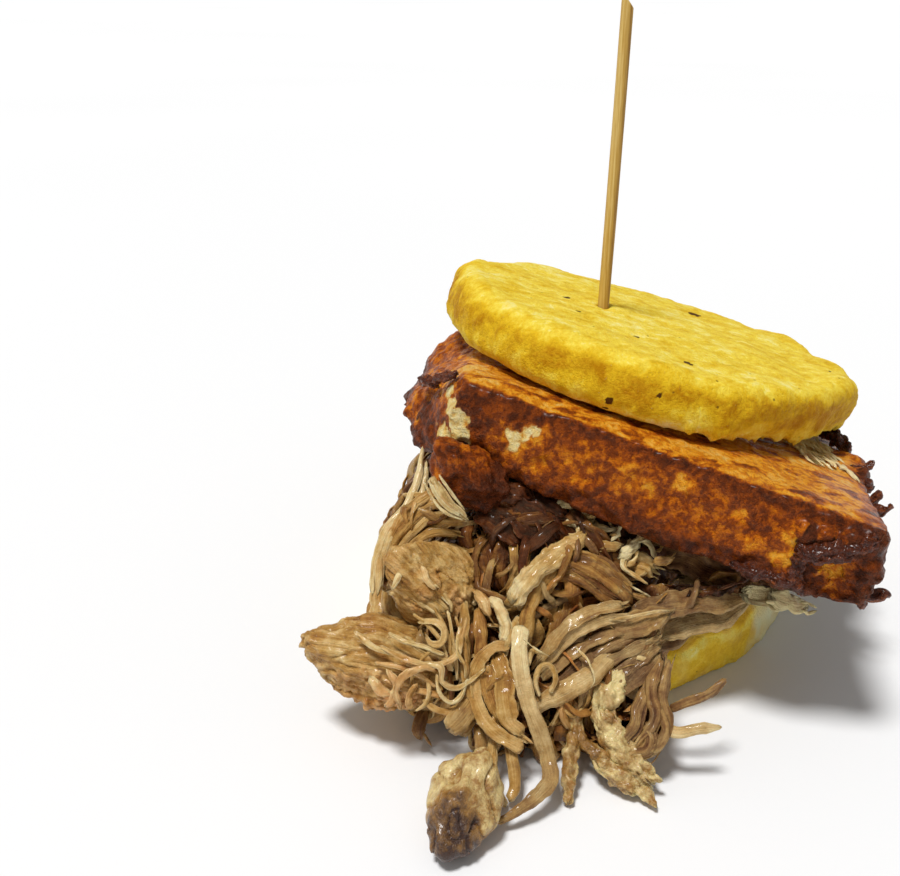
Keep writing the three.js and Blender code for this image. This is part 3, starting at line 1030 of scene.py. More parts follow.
@dataclass
class CheeseSlab:
    """The fried slab: golden top, dark glazed edge, mottled front and torn, caught corners."""

    pose: Pose = field(default_factory=lambda: Pose(5, 10, 53, 16.3, 5.4))
    near_left: tuple[float, float] = (-35.4, -42.2)
    skew: float = -17.3
    length: float = 84.0
    step: float = 0.68
    seed: int = 11
    crumb_seed: int = 12

    PULLS = (
        Pull((-36.5, -23, 50.5), (-1.4, -1.2, -4.4), 13), Pull((-30, 24, 58), (-1.6, 0, 2.4), 17),
        Pull((44, -56, 32), (-0.6, 0, -1.4), 12), Pull((-29, -34, 48), (0, 0.5, 3.4), 9),
        Pull((6, -40, 37), (0, -0.4, -1.7), 24), Pull((43.5, -58, 31), (3.2, 0.8, 0.6), 12),
        Pull((47, -56, 41), (2.0, 0, 0), 8), Pull((61, -14, 40), (2.2, 0, 0.9), 11),
        Pull((27, -50, 29), (0, -1.2, -0.6), 9), Pull((-14, -36, 43), (0, -0.8, -0.6), 8),
    )
    # Where the crust is paler, where it is torn, and where it caught; then where it stands out
    # in lumps and where it is hollow.
    GOLD = (
        Spot(-20.7, -36, 57, 3.4, 0.26), Spot(-17.4, -37, 55.5, 3.2, 0.26),
        Spot(-14, -37.5, 57.4, 3.2, 0.24), Spot(-18.3, -37.4, 53.2, 2.8, 0.22),
        Spot(-14.5, -38.6, 51.5, 3.2, 0.14), Spot(-6, -41, 52, 4.2, 0.14), Spot(3, -43, 50.4, 4.6, 0.12),
        Spot(7.3, -44.7, 49.2, 2.6, 0.3), Spot(13, -46, 50.8, 2.6, 0.3), Spot(23, -50.5, 46, 2.4, 0.2),
        Spot(25, -52.3, 41.4, 2.6, 0.2), Spot(30.6, -54.6, 39.4, 3.4, 0.32), Spot(31.4, -54, 43, 2.6, 0.24),
        Spot(39.4, -58, 37, 4.4, 0.3), Spot(40.6, -58.4, 33.6, 3.6, 0.3), Spot(-39, -14, 55, 5.0, 0.3),
        Spot(-37, -20, 53.5, 3.6, 0.3), Spot(-29, -20, 63.5, 7.0, 0.26),
    )
    TORN = (
        Spot(-31.4, -27, 61.8, 2.2), Spot(-31, -30, 60.2, 2.6), Spot(-29.8, -33, 58, 3.2),
        Spot(-29.4, -33.5, 55.4, 3.4), Spot(-31.5, -30, 54, 3.2), Spot(-18.5, -37, 56.2, 2.4, 0.72),
        Spot(-14.6, -37.6, 58, 1.8, 0.72), Spot(-16.6, -37.4, 56.6, 1.8, 0.7), Spot(-19, -37, 54, 1.8, 0.7),
        # The three patches at the right end lie in the upper cake's shadow: partly pale torn cheese, partly
        # painted light that lifts the shadow.
        Spot(50, -12, 43, 6.5, 0.8), Spot(50, -4, 43.6, 6.5, 0.9), Spot(48, -20, 43.6, 5.0, 0.66),
    )
    CHAR = (
        Spot(-34, -22, 63.4, 3.2), Spot(-36, -20, 60.5, 3.2), Spot(-36.4, -22, 56, 3.6, 0.8),
        Spot(34, -55.6, 44, 3.0), Spot(38, -56.6, 43.6, 3.0), Spot(42, -57.6, 44, 3.0),
        Spot(46, -58, 43.6, 3.4), Spot(46.6, -58.6, 38, 2.8, 0.9), Spot(46.4, -58.6, 33, 3.0, 0.9),
        Spot(34.4, -56, 37, 2.4, 0.9), Spot(61, -19, 38.6, 6.0, 1.0), Spot(58, -31, 37.4, 4.4, 0.9),
        Spot(27, -52, 35.6, 3.4, 0.8), Spot(32, -54.6, 34, 3.2, 0.9), Spot(35, -56, 32, 2.8, 0.9),
        Spot(-25, -36, 60, 6.0, 0.4), Spot(-20, -36, 61.5, 4.4, 0.35),
    )
    RAISED = (
        Spot(33.6, -55, 44.6, 2.6, 1.4), Spot(37, -56.6, 43.6, 3.2, 1.7), Spot(41, -57.6, 43.8, 3.4, 1.7),
        Spot(45.4, -58, 44.4, 3.2, 1.5), Spot(46.6, -58, 38.6, 2.6, 1.0), Spot(46.4, -58, 33, 2.8, 1.0),
        Spot(26.6, -52, 36, 3.0, 0.9), Spot(30.6, -54, 34.6, 3.0, 1.1), Spot(34.2, -55.6, 32.4, 2.8, 1.0),
        Spot(-36, -21.6, 61.4, 3.6, 1.3), Spot(-33.4, -24.6, 63, 2.4, 1.4), Spot(60, -19, 38.6, 4.0, 1.6),
        Spot(60.5, -10, 39.6, 4.0, 1.4), Spot(57.6, -29, 37.6, 3.4, 1.4),
    )
    SUNK = (
        Spot(38.6, -57.6, 38.6, 3.6, 1.7), Spot(42, -58.4, 38, 3.4, 1.7), Spot(39, -57.8, 34.4, 3.6, 1.5),
        Spot(42.4, -58.4, 33.4, 3.2, 1.5), Spot(34.4, -56, 38.4, 2.4, 1.2), Spot(34.8, -56, 35.6, 2.2, 1.2),
    )

    def _bake_and_shade(self, points: Array, normals: Array, grain: Grain) -> Array:
        """Works out how brown the slab is, with painted shade where its top runs in under the upper cake.

        Args:
            points: places in the frame.
            normals: directions in the slab's own axes.
            grain: its noise.

        Returns:
            0 for cream to 1 for nearly black, at each point.
        """
        local = self.pose.inside(points)
        turn = math.radians(self.skew)
        along = np.array([math.cos(turn), math.sin(turn)])
        out = np.array([math.sin(turn), -math.cos(turn)])
        flat = local[:, :2] - self.near_left
        share = flat @ along / self.length
        behind = -(flat @ out)
        deep = -local[:, 2]
        wander = grain.layers(points, 6, 3)
        front = ease(normals[:, :2] @ out, 0.45, 0.75)
        top = ease(normals[:, 2], 0.6, 0.88)
        band = 3.0 + 10 * (1 - ease(share, 0.1, 0.3)) + 1.6 * wander
        glaze = 1 - ease(deep, band * 0.6, band + 0.8)
        skirt = ease(deep + 1.8 * wander, 12.4, 15.4)
        end = ease(share, 0.93, 0.98)
        face = 0.48 + 0.22 * glaze + 0.2 * skirt + 0.2 * end
        face = face + 0.04 * ease(share, 0.5, 0.9) - 0.1 * wander
        lip = 1 - ease(behind, 0.4, 1.7)
        # Painted shade: the top darkens from 30 to 60 mm behind its front edge, where it runs in under the
        # upper cake.
        far = ease(behind, 30, 60)
        streak = grain.layers(points * (0.5, 1, 1), 4.0, 3)
        upper = 0.19 + 0.4 * lip + 0.1 * far + 0.3 * ease(streak, 0.2, 0.55) + 0.1 * wander
        upper = upper + 0.3 * ease(share, 0.93, 1.0)
        paler = (1 - ease(share, 0.0, 0.08)) * (1 - ease(deep, 9, 13))
        other = 0.66 + 0.14 * ease(deep, 9, 14) - 0.24 * paler
        side = front * face + (1 - front) * other
        return top * upper + (1 - top) * side

    def make(self, finish: Material) -> None:
        """Builds the slab.

        Args:
            finish: its material.
        """
        body = skin_of("cheese_slab", self.step, 2)
        grain = Grain(self.seed)
        body.pull(*self.PULLS)
        normals = self.pose.directions(body.normals())
        p = body.points
        side = 1 - np.abs(normals[:, 2])
        edge = ease(normals[:, 2], 0.2, 0.5) * (1 - ease(normals[:, 2], 0.8, 0.97))
        low = ease(-normals[:, 2], -0.1, 0.3) * (1 - ease(-normals[:, 2], 0.7, 0.95))
        body.swell(
            0.45 * grain.at(p, 10)
            + 0.42 * grain.layers(p, 4.5, 2) * (0.25 + side)
            + 0.3 * grain.layers(p, 2.0, 2) * (0.4 + side)
            + 0.45 * edge * (0.3 + grain.at(p, 2.6))
            + 0.9 * low * grain.layers(p, 2.8, 2)
        )
        ragged = 0.45 * grain.layers(body.points, 2.4, 3)
        golden = Spot.strongest(self.GOLD, body.points, ragged)
        char = Spot.strongest(self.CHAR, body.points, ragged)
        torn = Spot.strongest(self.TORN, body.points, 1.1 * ragged)
        body.marks["bake"] = np.clip(self._bake_and_shade(body.points, normals, grain) - golden, 0, 1)
        body.marks["torn"] = torn
        body.marks["char"] = char
        craggy = 0.55 + 0.45 * grain.layers(p, 2.4, 2)
        raised = Spot.strongest(self.RAISED, p, 0.3 * grain.layers(p, 2.0, 2))
        sunk = Spot.strongest(self.SUNK, p, 0.2 * grain.layers(p, 2.0, 2))
        body.swell(
            raised * craggy
            - sunk * (1 - ease(raised, 0.1, 0.6))
            + 0.3 * char * grain.at(p, 1.4)
            - 0.35 * torn
        )
        body.piece("cheese_slab_skin", finish, "cheese_crust", "cheese_slab")

    def crumbs(self, finish: Material) -> None:
        """Builds the caught crumbs on the slab's corners and its right end.

        Args:
            finish: their material.
        """
        maker = StripMaker(self.crumb_seed)
        runs = [
            ([(-34.4, -22.6, 62.8), (-32.6, -24.6, 64), (-30.8, -26, 65), (-29.6, -26.8, 66)], 2.0, 1.8),
            ([(-37, -19, 61.6), (-35.4, -21, 62), (-34, -23, 61.6)], 2.6, 2.0),
            ([(56.6, -17, 39.8), (59, -17, 40.2), (60.8, -17, 40.8), (61.4, -17, 42)], 2.0, 1.7),
            ([(57, -20.6, 38), (59, -21, 38), (60.4, -21, 38)], 3.2, 2.8),
            ([(55, -28.6, 38), (57, -29.4, 38.6), (57.8, -29.6, 40), (57.8, -29.6, 41)], 1.9, 1.6),
            ([(55, -31, 37.4), (57.2, -32, 37.4), (58.8, -32.4, 38)], 2.8, 2.2),
            ([(58, -32.4, 37.8), (59, -33, 38.8), (59, -33, 39.8)], 1.3, 1.2),
            ([(54, -35, 36.2), (56, -36, 35.6), (57, -36, 35)], 3.0, 2.2),
            ([(58, 4, 39.4), (60, 5, 40), (60.6, 6, 39.4)], 3.4, 2.8),
            ([(45.4, -55.4, 32), (47.8, -55.6, 31.8), (49.8, -55.6, 32.4), (50.8, -55.6, 31.6)], 2.2, 1.8),
            ([(44.6, -56.4, 32), (45.6, -56.8, 31), (45.6, -56.8, 30)], 2.2, 1.8),
            ([(32.4, -55.8, 41.2), (35, -56.8, 42), (38.2, -57.8, 43), (41.8, -58.4, 44), (45.6, -58.2, 45)],
                3.4, 2.4),
            ([(34, -56.4, 41), (36, -57.4, 41), (38, -58, 41.6), (40, -58.2, 42.2), (42, -58.4, 43)], 2.4,
                2.4),
            ([(33.4, -55.6, 41), (33, -55.7, 39), (32.8, -55.8, 37), (33.4, -55.8, 35), (35, -55.4, 32.6)],
                2.4, 1.2),
            ([(54, 8, 42), (56.4, 6, 41.6), (58.4, 2, 41), (59.4, -3, 40.6), (59.6, -7, 40.2)], 3.4, 2.4),
            ([(22, -51.2, 36.4), (25, -52.6, 35.8), (28.4, -54, 35.6), (31.4, -55.6, 35), (34, -56.4, 34)],
                3.0, 2.0),
        ]
        for route, width, thick in runs:
            ridge = len(route) > 4
            tone, ends, lumps = (0.06, (0.9, 0.8), 1.0) if ridge else (0.0, (1.3, 0.6), 0.6)
            maker.add(
                Strip(
                    route, width, thick, tone=tone, ends=ends, grooves=0.1, lumps=lumps, torn=0.45,
                    step=FINE_STEP,
                )
            )
        maker.body().piece("cheese_crumbs", finish, "cheese_crust", "cheese_slab")


@dataclass
class CheeseTuft:
    """The pale torn fibres on the slab's top, near its right end."""

    count: int = 110
    seed: int = 15

    def make(self, finish: Material) -> None:
        """Builds the fibres.

        Args:
            finish: their material.
        """
        rng = np.random.default_rng(self.seed)
        maker = StripMaker(self.seed)
        slab = surface_of("cheese_slab")
        down = Vector((0, 0, -1))
        for _ in range(self.count):
            x, y = rng.uniform(43, 54), rng.uniform(-22, 5)
            far = rng.uniform(2.5, 5)
            run = []
            for t in (0, 0.35, 0.7, 1):
                drop = slab.ray_cast(Vector((x + t * far * 0.5, y - t * far, ABOVE_ALL)), down)[0]
                if drop is not None:
                    lift = 0.15 + 0.5 * math.sin(math.pi * t)
                    run.append((drop.x + rng.normal(0, 0.25), drop.y, drop.z + lift))
            if len(run) == 4:
                # The fibres' pale tones are partly their own colour and partly painted light in the upper
                # cake's shadow.
                width, tone = rng.uniform(0.3, 0.9), rng.uniform(-0.16, 0.08)
                strip = Strip(run, width, 0.3, tone, hue=-0.1, torn=0.9, face=(0, 0, 1), step=0.3)
                maker.add(strip)
        maker.body().piece("cheese_tuft", finish, "cheese_crust", "cheese_slab")


@dataclass
class CheeseFold:
    """The small browned lobe under the slab's left end."""

    step: float = 0.42
    seed: int = 21

    def make(self, finish: Material) -> None:
        """Builds the lobe.

        Args:
            finish: its material.
        """
        body = skin_of("cheese_fold", self.step, 2)
        grain = Grain(self.seed)
        body.pull(
            Pull((-31, -38, 54), (-0.8, -0.5, 1.6), 8),
            Pull((-24, -42, 46), (3.2, 1.2, -3.4), 9),
        )
        p = body.points
        body.swell(1.0 * grain.at(p, 6) + 0.8 * grain.layers(p, 2.6, 3) - 0.5)
        low = ease(body.points[:, 0] * 0.6 - body.points[:, 2] + 66, -2, 5)
        body.marks["bake"] = 0.56 + 0.34 * low + 0.2 * grain.at(p, 3)
        body.marks["torn"] = np.zeros(len(p))
        body.marks["char"] = 0.6 * low + 0.3 * ease(grain.at(p, 3.5), 0.3, 0.7)
        body.piece("cheese_fold_skin", finish, "cheese_crust", "cheese_fold")


@dataclass
class Skewer:
    """The bamboo skewer: a slightly uneven split stick with a slanting cut."""

    foot: Place = (2.9, 10.0, 2.5)
    lean: float = 1.2
    radius: float = 1.3
    length: float = 132.0
    rows: int = 160
    sides: int = 28
    seed: int = 31

    def make(self, finish: Material) -> None:
        """Builds the stick.

        Args:
            finish: its material.
        """
        grain = Grain(self.seed)
        s = np.linspace(0, 1, self.rows)
        angle = np.linspace(0, 2 * math.pi, self.sides, endpoint=False)
        c, d = np.cos(angle), np.sin(angle)
        square = 1 / (np.abs(c) ** 5 + np.abs(d) ** 5) ** 0.2
        reach = self.radius * (0.93 + 0.07 * square)
        x = np.outer(np.ones(self.rows), reach * c)
        y = np.outer(np.ones(self.rows), reach * d)
        z = np.outer(s * self.length, np.ones(self.sides))
        ribs = grain.at(np.stack([x.ravel(), y.ravel(), z.ravel() / 60], 1), 0.35).reshape(x.shape)
        bend = 0.35 * np.sin(s * 2.6)[:, None]
        grow = 1 + 0.025 * ribs
        z = z - 1.2 * x * ease(z, self.length - 8, self.length - 3)
        x, y = x * grow + bend, y * grow
        lean = math.radians(self.lean)
        points = np.stack([x + z * math.sin(lean), y, z * math.cos(lean)], 2) + self.foot
        here = np.arange(self.rows * self.sides).reshape(self.rows, self.sides)
        nxt = np.roll(here, -1, axis=1)
        faces = np.stack([here[:-1], nxt[:-1], nxt[1:], here[1:]], 2).reshape(-1, 4).tolist()
        faces += [tuple(int(i) for i in here[0][::-1]), tuple(int(i) for i in here[-1])]
        body = Body(points.reshape(-1, 3), faces)
        # Painted shade: the side mark darkens the stick's right and back, which face away from the key light.
        body.marks["side"] = np.tile(ease(c, -0.2, 0.6) * 0.8 + 0.2 * (d > 0), self.rows)
        piece = body.piece("skewer_stick", finish, "bamboo", "skewer")
        piece.data.polygons[len(faces) - 1].use_smooth = False


# ---- The pork ----


@dataclass(frozen=True)
class Slope:
    """The pile's sloping front, on which the front strips lie."""

    rise: float = 1.06

    def at(self, *stations: Place) -> list[Place]:
        """Turns stations on the slope into places.

        Args:
            stations: each how far right, how high and how far off the slope, in mm.

        Returns:
            The places.
        """
        tilt = math.atan(self.rise)
        out = []
        for x, z, lift in stations:
            y = -38 + (z - 38) / self.rise
            z = max(z + lift * math.cos(tilt), LOWEST_STATION)
            out.append((x, y - lift * math.sin(tilt), z))
        return out


@dataclass(frozen=True)
class Flank:
    """The near side of the left chunk, which stands nearly upright."""

    def at(self, *stations: Place) -> list[Place]:
        """Turns stations on the flank into places.

        Args:
            stations: each how far right, how high and how far off the flank, in mm.

        Returns:
            The places.
        """
        return [(x, -57 - 0.35 * (20 - z) - 0.9 * lift, z + 0.4 * lift) for x, z, lift in stations]


@dataclass(frozen=True)
class Bundle:
    """Many fibres that run side by side as one torn muscle."""

    route: Sequence[Place]
    width: float
    thick: float
    count: int
    tone: float
    seed: int
    hue: float = 0.0
    pinch: tuple[float, float] = (0.6, 0.6)
    face: Place = (0.0, -0.73, 0.68)

    def strips(self) -> list[Strip]:
        """Returns its fibres, over a fuller core."""
        rng = np.random.default_rng(self.seed)
        route = np.array(self.route, float)
        tangent = unit(np.gradient(route, axis=0))
        across = unit(np.cross(tangent, np.array(self.face)))
        up = np.cross(across, tangent)
        share = np.linspace(0, 1, len(route))
        shape = (self.pinch[0], 1, 1, self.pinch[1])
        wide = np.interp(share, (0, 0.4, 0.65, 1), shape) * self.width / 2
        core = self.width * (0.95 if self.thick > 1.2 else 0.5)
        out = [
            Strip(
                self.route, core, self.thick * 0.9, self.tone + 0.08, hue=self.hue, ends=self.pinch,
                grooves=0.26, lumps=0.24, torn=0.3, face=self.face,
            )
        ]
        for i in range(self.count):
            place = -1 + 2 * (i + rng.uniform(0.2, 0.8)) / self.count
            wave = rng.normal(0, 0.07, len(route)).cumsum()
            side = np.clip(place + wave, -1.05, 1.05)
            height = np.sqrt(np.clip(1 - side**2 * 0.92, 0.05, 1)) * self.thick * 0.46
            height = height + rng.uniform(-0.55, 0.0) + rng.normal(0, 0.12, len(route))
            line = route + across * (side * wide)[:, None] + up * height[:, None]
            kept = np.linspace(rng.uniform(0, 0.16), rng.uniform(0.84, 1.0), len(route))
            line = np.stack([np.interp(kept, share, line[:, k]) for k in range(3)], axis=1)
            width = 1.5 * self.width / self.count * rng.uniform(0.6, 1.5)
            out.append(
                Strip(
                    line.tolist(), width, width * rng.uniform(0.5, 0.9), tone=self.tone +
                    float(rng.normal(0, 0.09)), hue=self.hue + float(rng.normal(0, 0.15)),
                    ends=(rng.uniform(0.4, 0.9), rng.uniform(0.3, 0.9)), grooves=0.12, lumps=0.1,
                    torn=rng.uniform(0.3, 0.9), face=self.face, twist=float(rng.normal(0, 25)),
                )
            )
        return out


@dataclass(frozen=True)
class StrandSizes:
    """How many strips of a kind there are, and how big they are, in mm."""

    seed: int
    count: int
    length: tuple[float, float]
    width: tuple[float, float]
    lift: tuple[float, float]
    tone: float
    scatter: float
    step: float


class StrandKind(Enum):
    """The kinds of loose strip."""

    STRIPS = StrandSizes(51, 240, (10, 24), (1.6, 3.8), (0.0, 1.2), 0.5, 0.6, 0.68)
    STRINGS = StrandSizes(52, 330, (7, 18), (0.7, 1.6), (0.3, 1.8), 0.4, 0.85, 0.46)
    THREADS = StrandSizes(53, 80, (4, 10), (0.3, 0.55), (0.4, 1.8), 0.2, 1.0, 0.36)


@dataclass
class PorkHeap:
    """The pulled pork behind the front strips: a dark core, partly painted shade, and loose strips all round
    it.
    """

    layers: tuple[str, ...] = ("arepa_lower", "arepa_upper", "cheese_slab", "cheese_fold")
    clearance: float = 0.6
    seed: int = 41

    FOOT_FRONT = -66.0  # below FOOT_TOP, nothing comes further forward than this
    FOOT_TOP = 14.0
    RIGHT_FRONT = -54.0  # and right of the middle, nothing further than this

    def __post_init__(self) -> None:
        """Reads the surfaces that the strips follow and stay out of."""
        self.heap = surface_of("pork_heap")
        self.walls = [surface_of(node) for node in self.layers]

    def core(self, finish: Material) -> None:
        """Builds the core.

        Args:
            finish: its material.
        """
        body = skin_of("pork_heap", 1.1, 2)
        grain = Grain(self.seed)
        drawn = body.points * (1, 0.5, 0.4)
        ridges = -np.abs(grain.at(drawn, 3.0)) * 2.2
        ridges = ridges - np.abs(grain.at(drawn * (1, 0.6, 0.6) + 20, 1.4)) * 0.9
        body.swell(-1.2 + 0.9 * grain.layers(drawn, 5.0, 2) + ridges)
        body.rest(LOWEST_CORE)
        x, y, z = body.points.T
        right = (x > 10) & (y < self.RIGHT_FRONT) & (z < 20)
        stray = right | ((y < self.FOOT_FRONT) & (z < self.FOOT_TOP))
        body.faces = [f for f in body.faces if not stray[list(f)].any()]
        body.marks["grain"] = body.points * (1, 0.3, 0.3)
        # The core's dark tone is partly painted shade deep in the pile, and it darkens further in its grooves
        # as painted shade.
        body.marks["tone"] = 0.72 + 0.35 * grain.at(drawn, 4) - 0.15 * ridges
        body.marks["hue"] = -0.2 + 0.4 * grain.at(body.points, 9)
        body.marks["tip"] = np.zeros(len(body.points))
        body.piece("pork_core", finish, "pork", "pork_heap")

    def _clear(self, place: Vector) -> Vector:
        """Keeps a place out of the layers above and below.

        Args:
            place: a place in mm.

        Returns:
            The place, moved out if it was in one or too close.
        """
        for wall in self.walls:
            near, normal, _, _ = wall.find_nearest(place, 12.0)
            if near is not None and (place - near).dot(normal) < self.clearance:
                place = near + normal * self.clearance
        return place

    def _bare(self, spot: Vector) -> bool:
        """Tells whether a place stays bare: the lower cake's right front and the floor there."""
        right = spot.y < -22 and spot.z < 26 and spot.x > 9 + max(0.0, spot.z - 18) * 0.8
        foot = spot.y < self.FOOT_FRONT and spot.z < self.FOOT_TOP
        return right or foot or (spot.x > 9 and spot.y < self.RIGHT_FRONT)

    def _drape(
        self, rng: np.random.Generator, start: Vector, way: Vector, length: float, lift: float
    ) -> list[Place]:
        """Lays a route over the heap.

        Args:
            rng: the source of chance.
            start: where the route starts.
            way: the direction it sets out in.
            length: how long it is, in mm.
            lift: how far its middle stands off.

        Returns:
            The route's points, or none where the cake stays bare.
        """
        count = max(5, int(length / 2.4))
        route = []
        place, heading = start.copy(), way.normalized()
        turn = rng.normal(0, 0.1)
        for i in range(count):
            near, normal, _, _ = self.heap.find_nearest(place)
            heading = (heading - normal * heading.dot(normal)).normalized()
            across = normal.cross(heading)
            heading = (heading + across * (turn + rng.normal(0, 0.14))).normalized()
            arch = math.sin(math.pi * i / (count - 1))
            spot = self._clear(near + normal * (-1.3 + (1.3 + lift) * arch**0.7))
            spot.z = max(spot.z, LOWEST_DRAPE)
            if self._bare(spot):
                return []
            route.append(tuple(spot))
            place = near + heading * (length / count)
        return route

    def loose(self, finish: Material, kind: StrandKind) -> None:
        """Builds one kind of loose strip over the whole heap.

        Args:
            finish: its material.
            kind: which kind.
        """
        sizes = kind.value
        rng = np.random.default_rng(sizes.seed)
        maker = StripMaker(sizes.seed)
        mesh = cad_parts["pork_heap"].data
        areas = np.array([p.area for p in mesh.polygons])
        picks = rng.choice(len(areas), size=sizes.count * 8, p=areas / areas.sum())
        made = 0
        for pick in picks:
            if made >= sizes.count:
                break
            polygon = mesh.polygons[int(pick)]
            start = Vector(polygon.center) / MM
            normal = Vector(polygon.normal)
            if start.z < 1.0 or normal.z < -0.6:
                continue
            hits = (wall.ray_cast(start + normal * 0.2, normal, 2.0)[0] for wall in self.walls)
            if any(hit is not None for hit in hits):
                continue
            # Painted shade: strands that start close under the slab get a darker tone, up to 0.5 more right
            # beside it.
            _, _, _, under = self.walls[2].find_nearest(start, 12.0)
            shade = 0.0 if under is None else 0.5 * (1 - under / 12)
            away = Vector((start.x, start.y, 0)).normalized()
            way = away * 0.8 + Vector((0, 0, -0.8)) + Vector(rng.normal(0, sizes.scatter, 3))
            length, lift = rng.uniform(*sizes.length), rng.uniform(*sizes.lift)
            route = self._drape(rng, start, way, length, lift)
            if not route:
                continue
            width = rng.uniform(*sizes.width)
            maker.add(
                Strip(
                    route, width, width * rng.uniform(0.22, 0.55),
                    tone=float(np.clip(rng.normal(sizes.tone, 0.12) + shade, 0.05, 0.9)),
                    hue=float(rng.normal(0.0, 0.35)), ends=(rng.uniform(0.3, 0.9), rng.uniform(0.25, 0.8)),
                    curl=float(rng.normal(0, 0.2)), twist=float(rng.normal(0, 60)),
                    torn=float(rng.uniform(0.2, 0.9)), grooves=0.11, lumps=0.18, face=tuple(normal),
                    step=sizes.step,
                )
            )
            made += 1
        maker.body().piece(f"pork_{kind.name.lower()}", finish, "pork", "pork_heap")


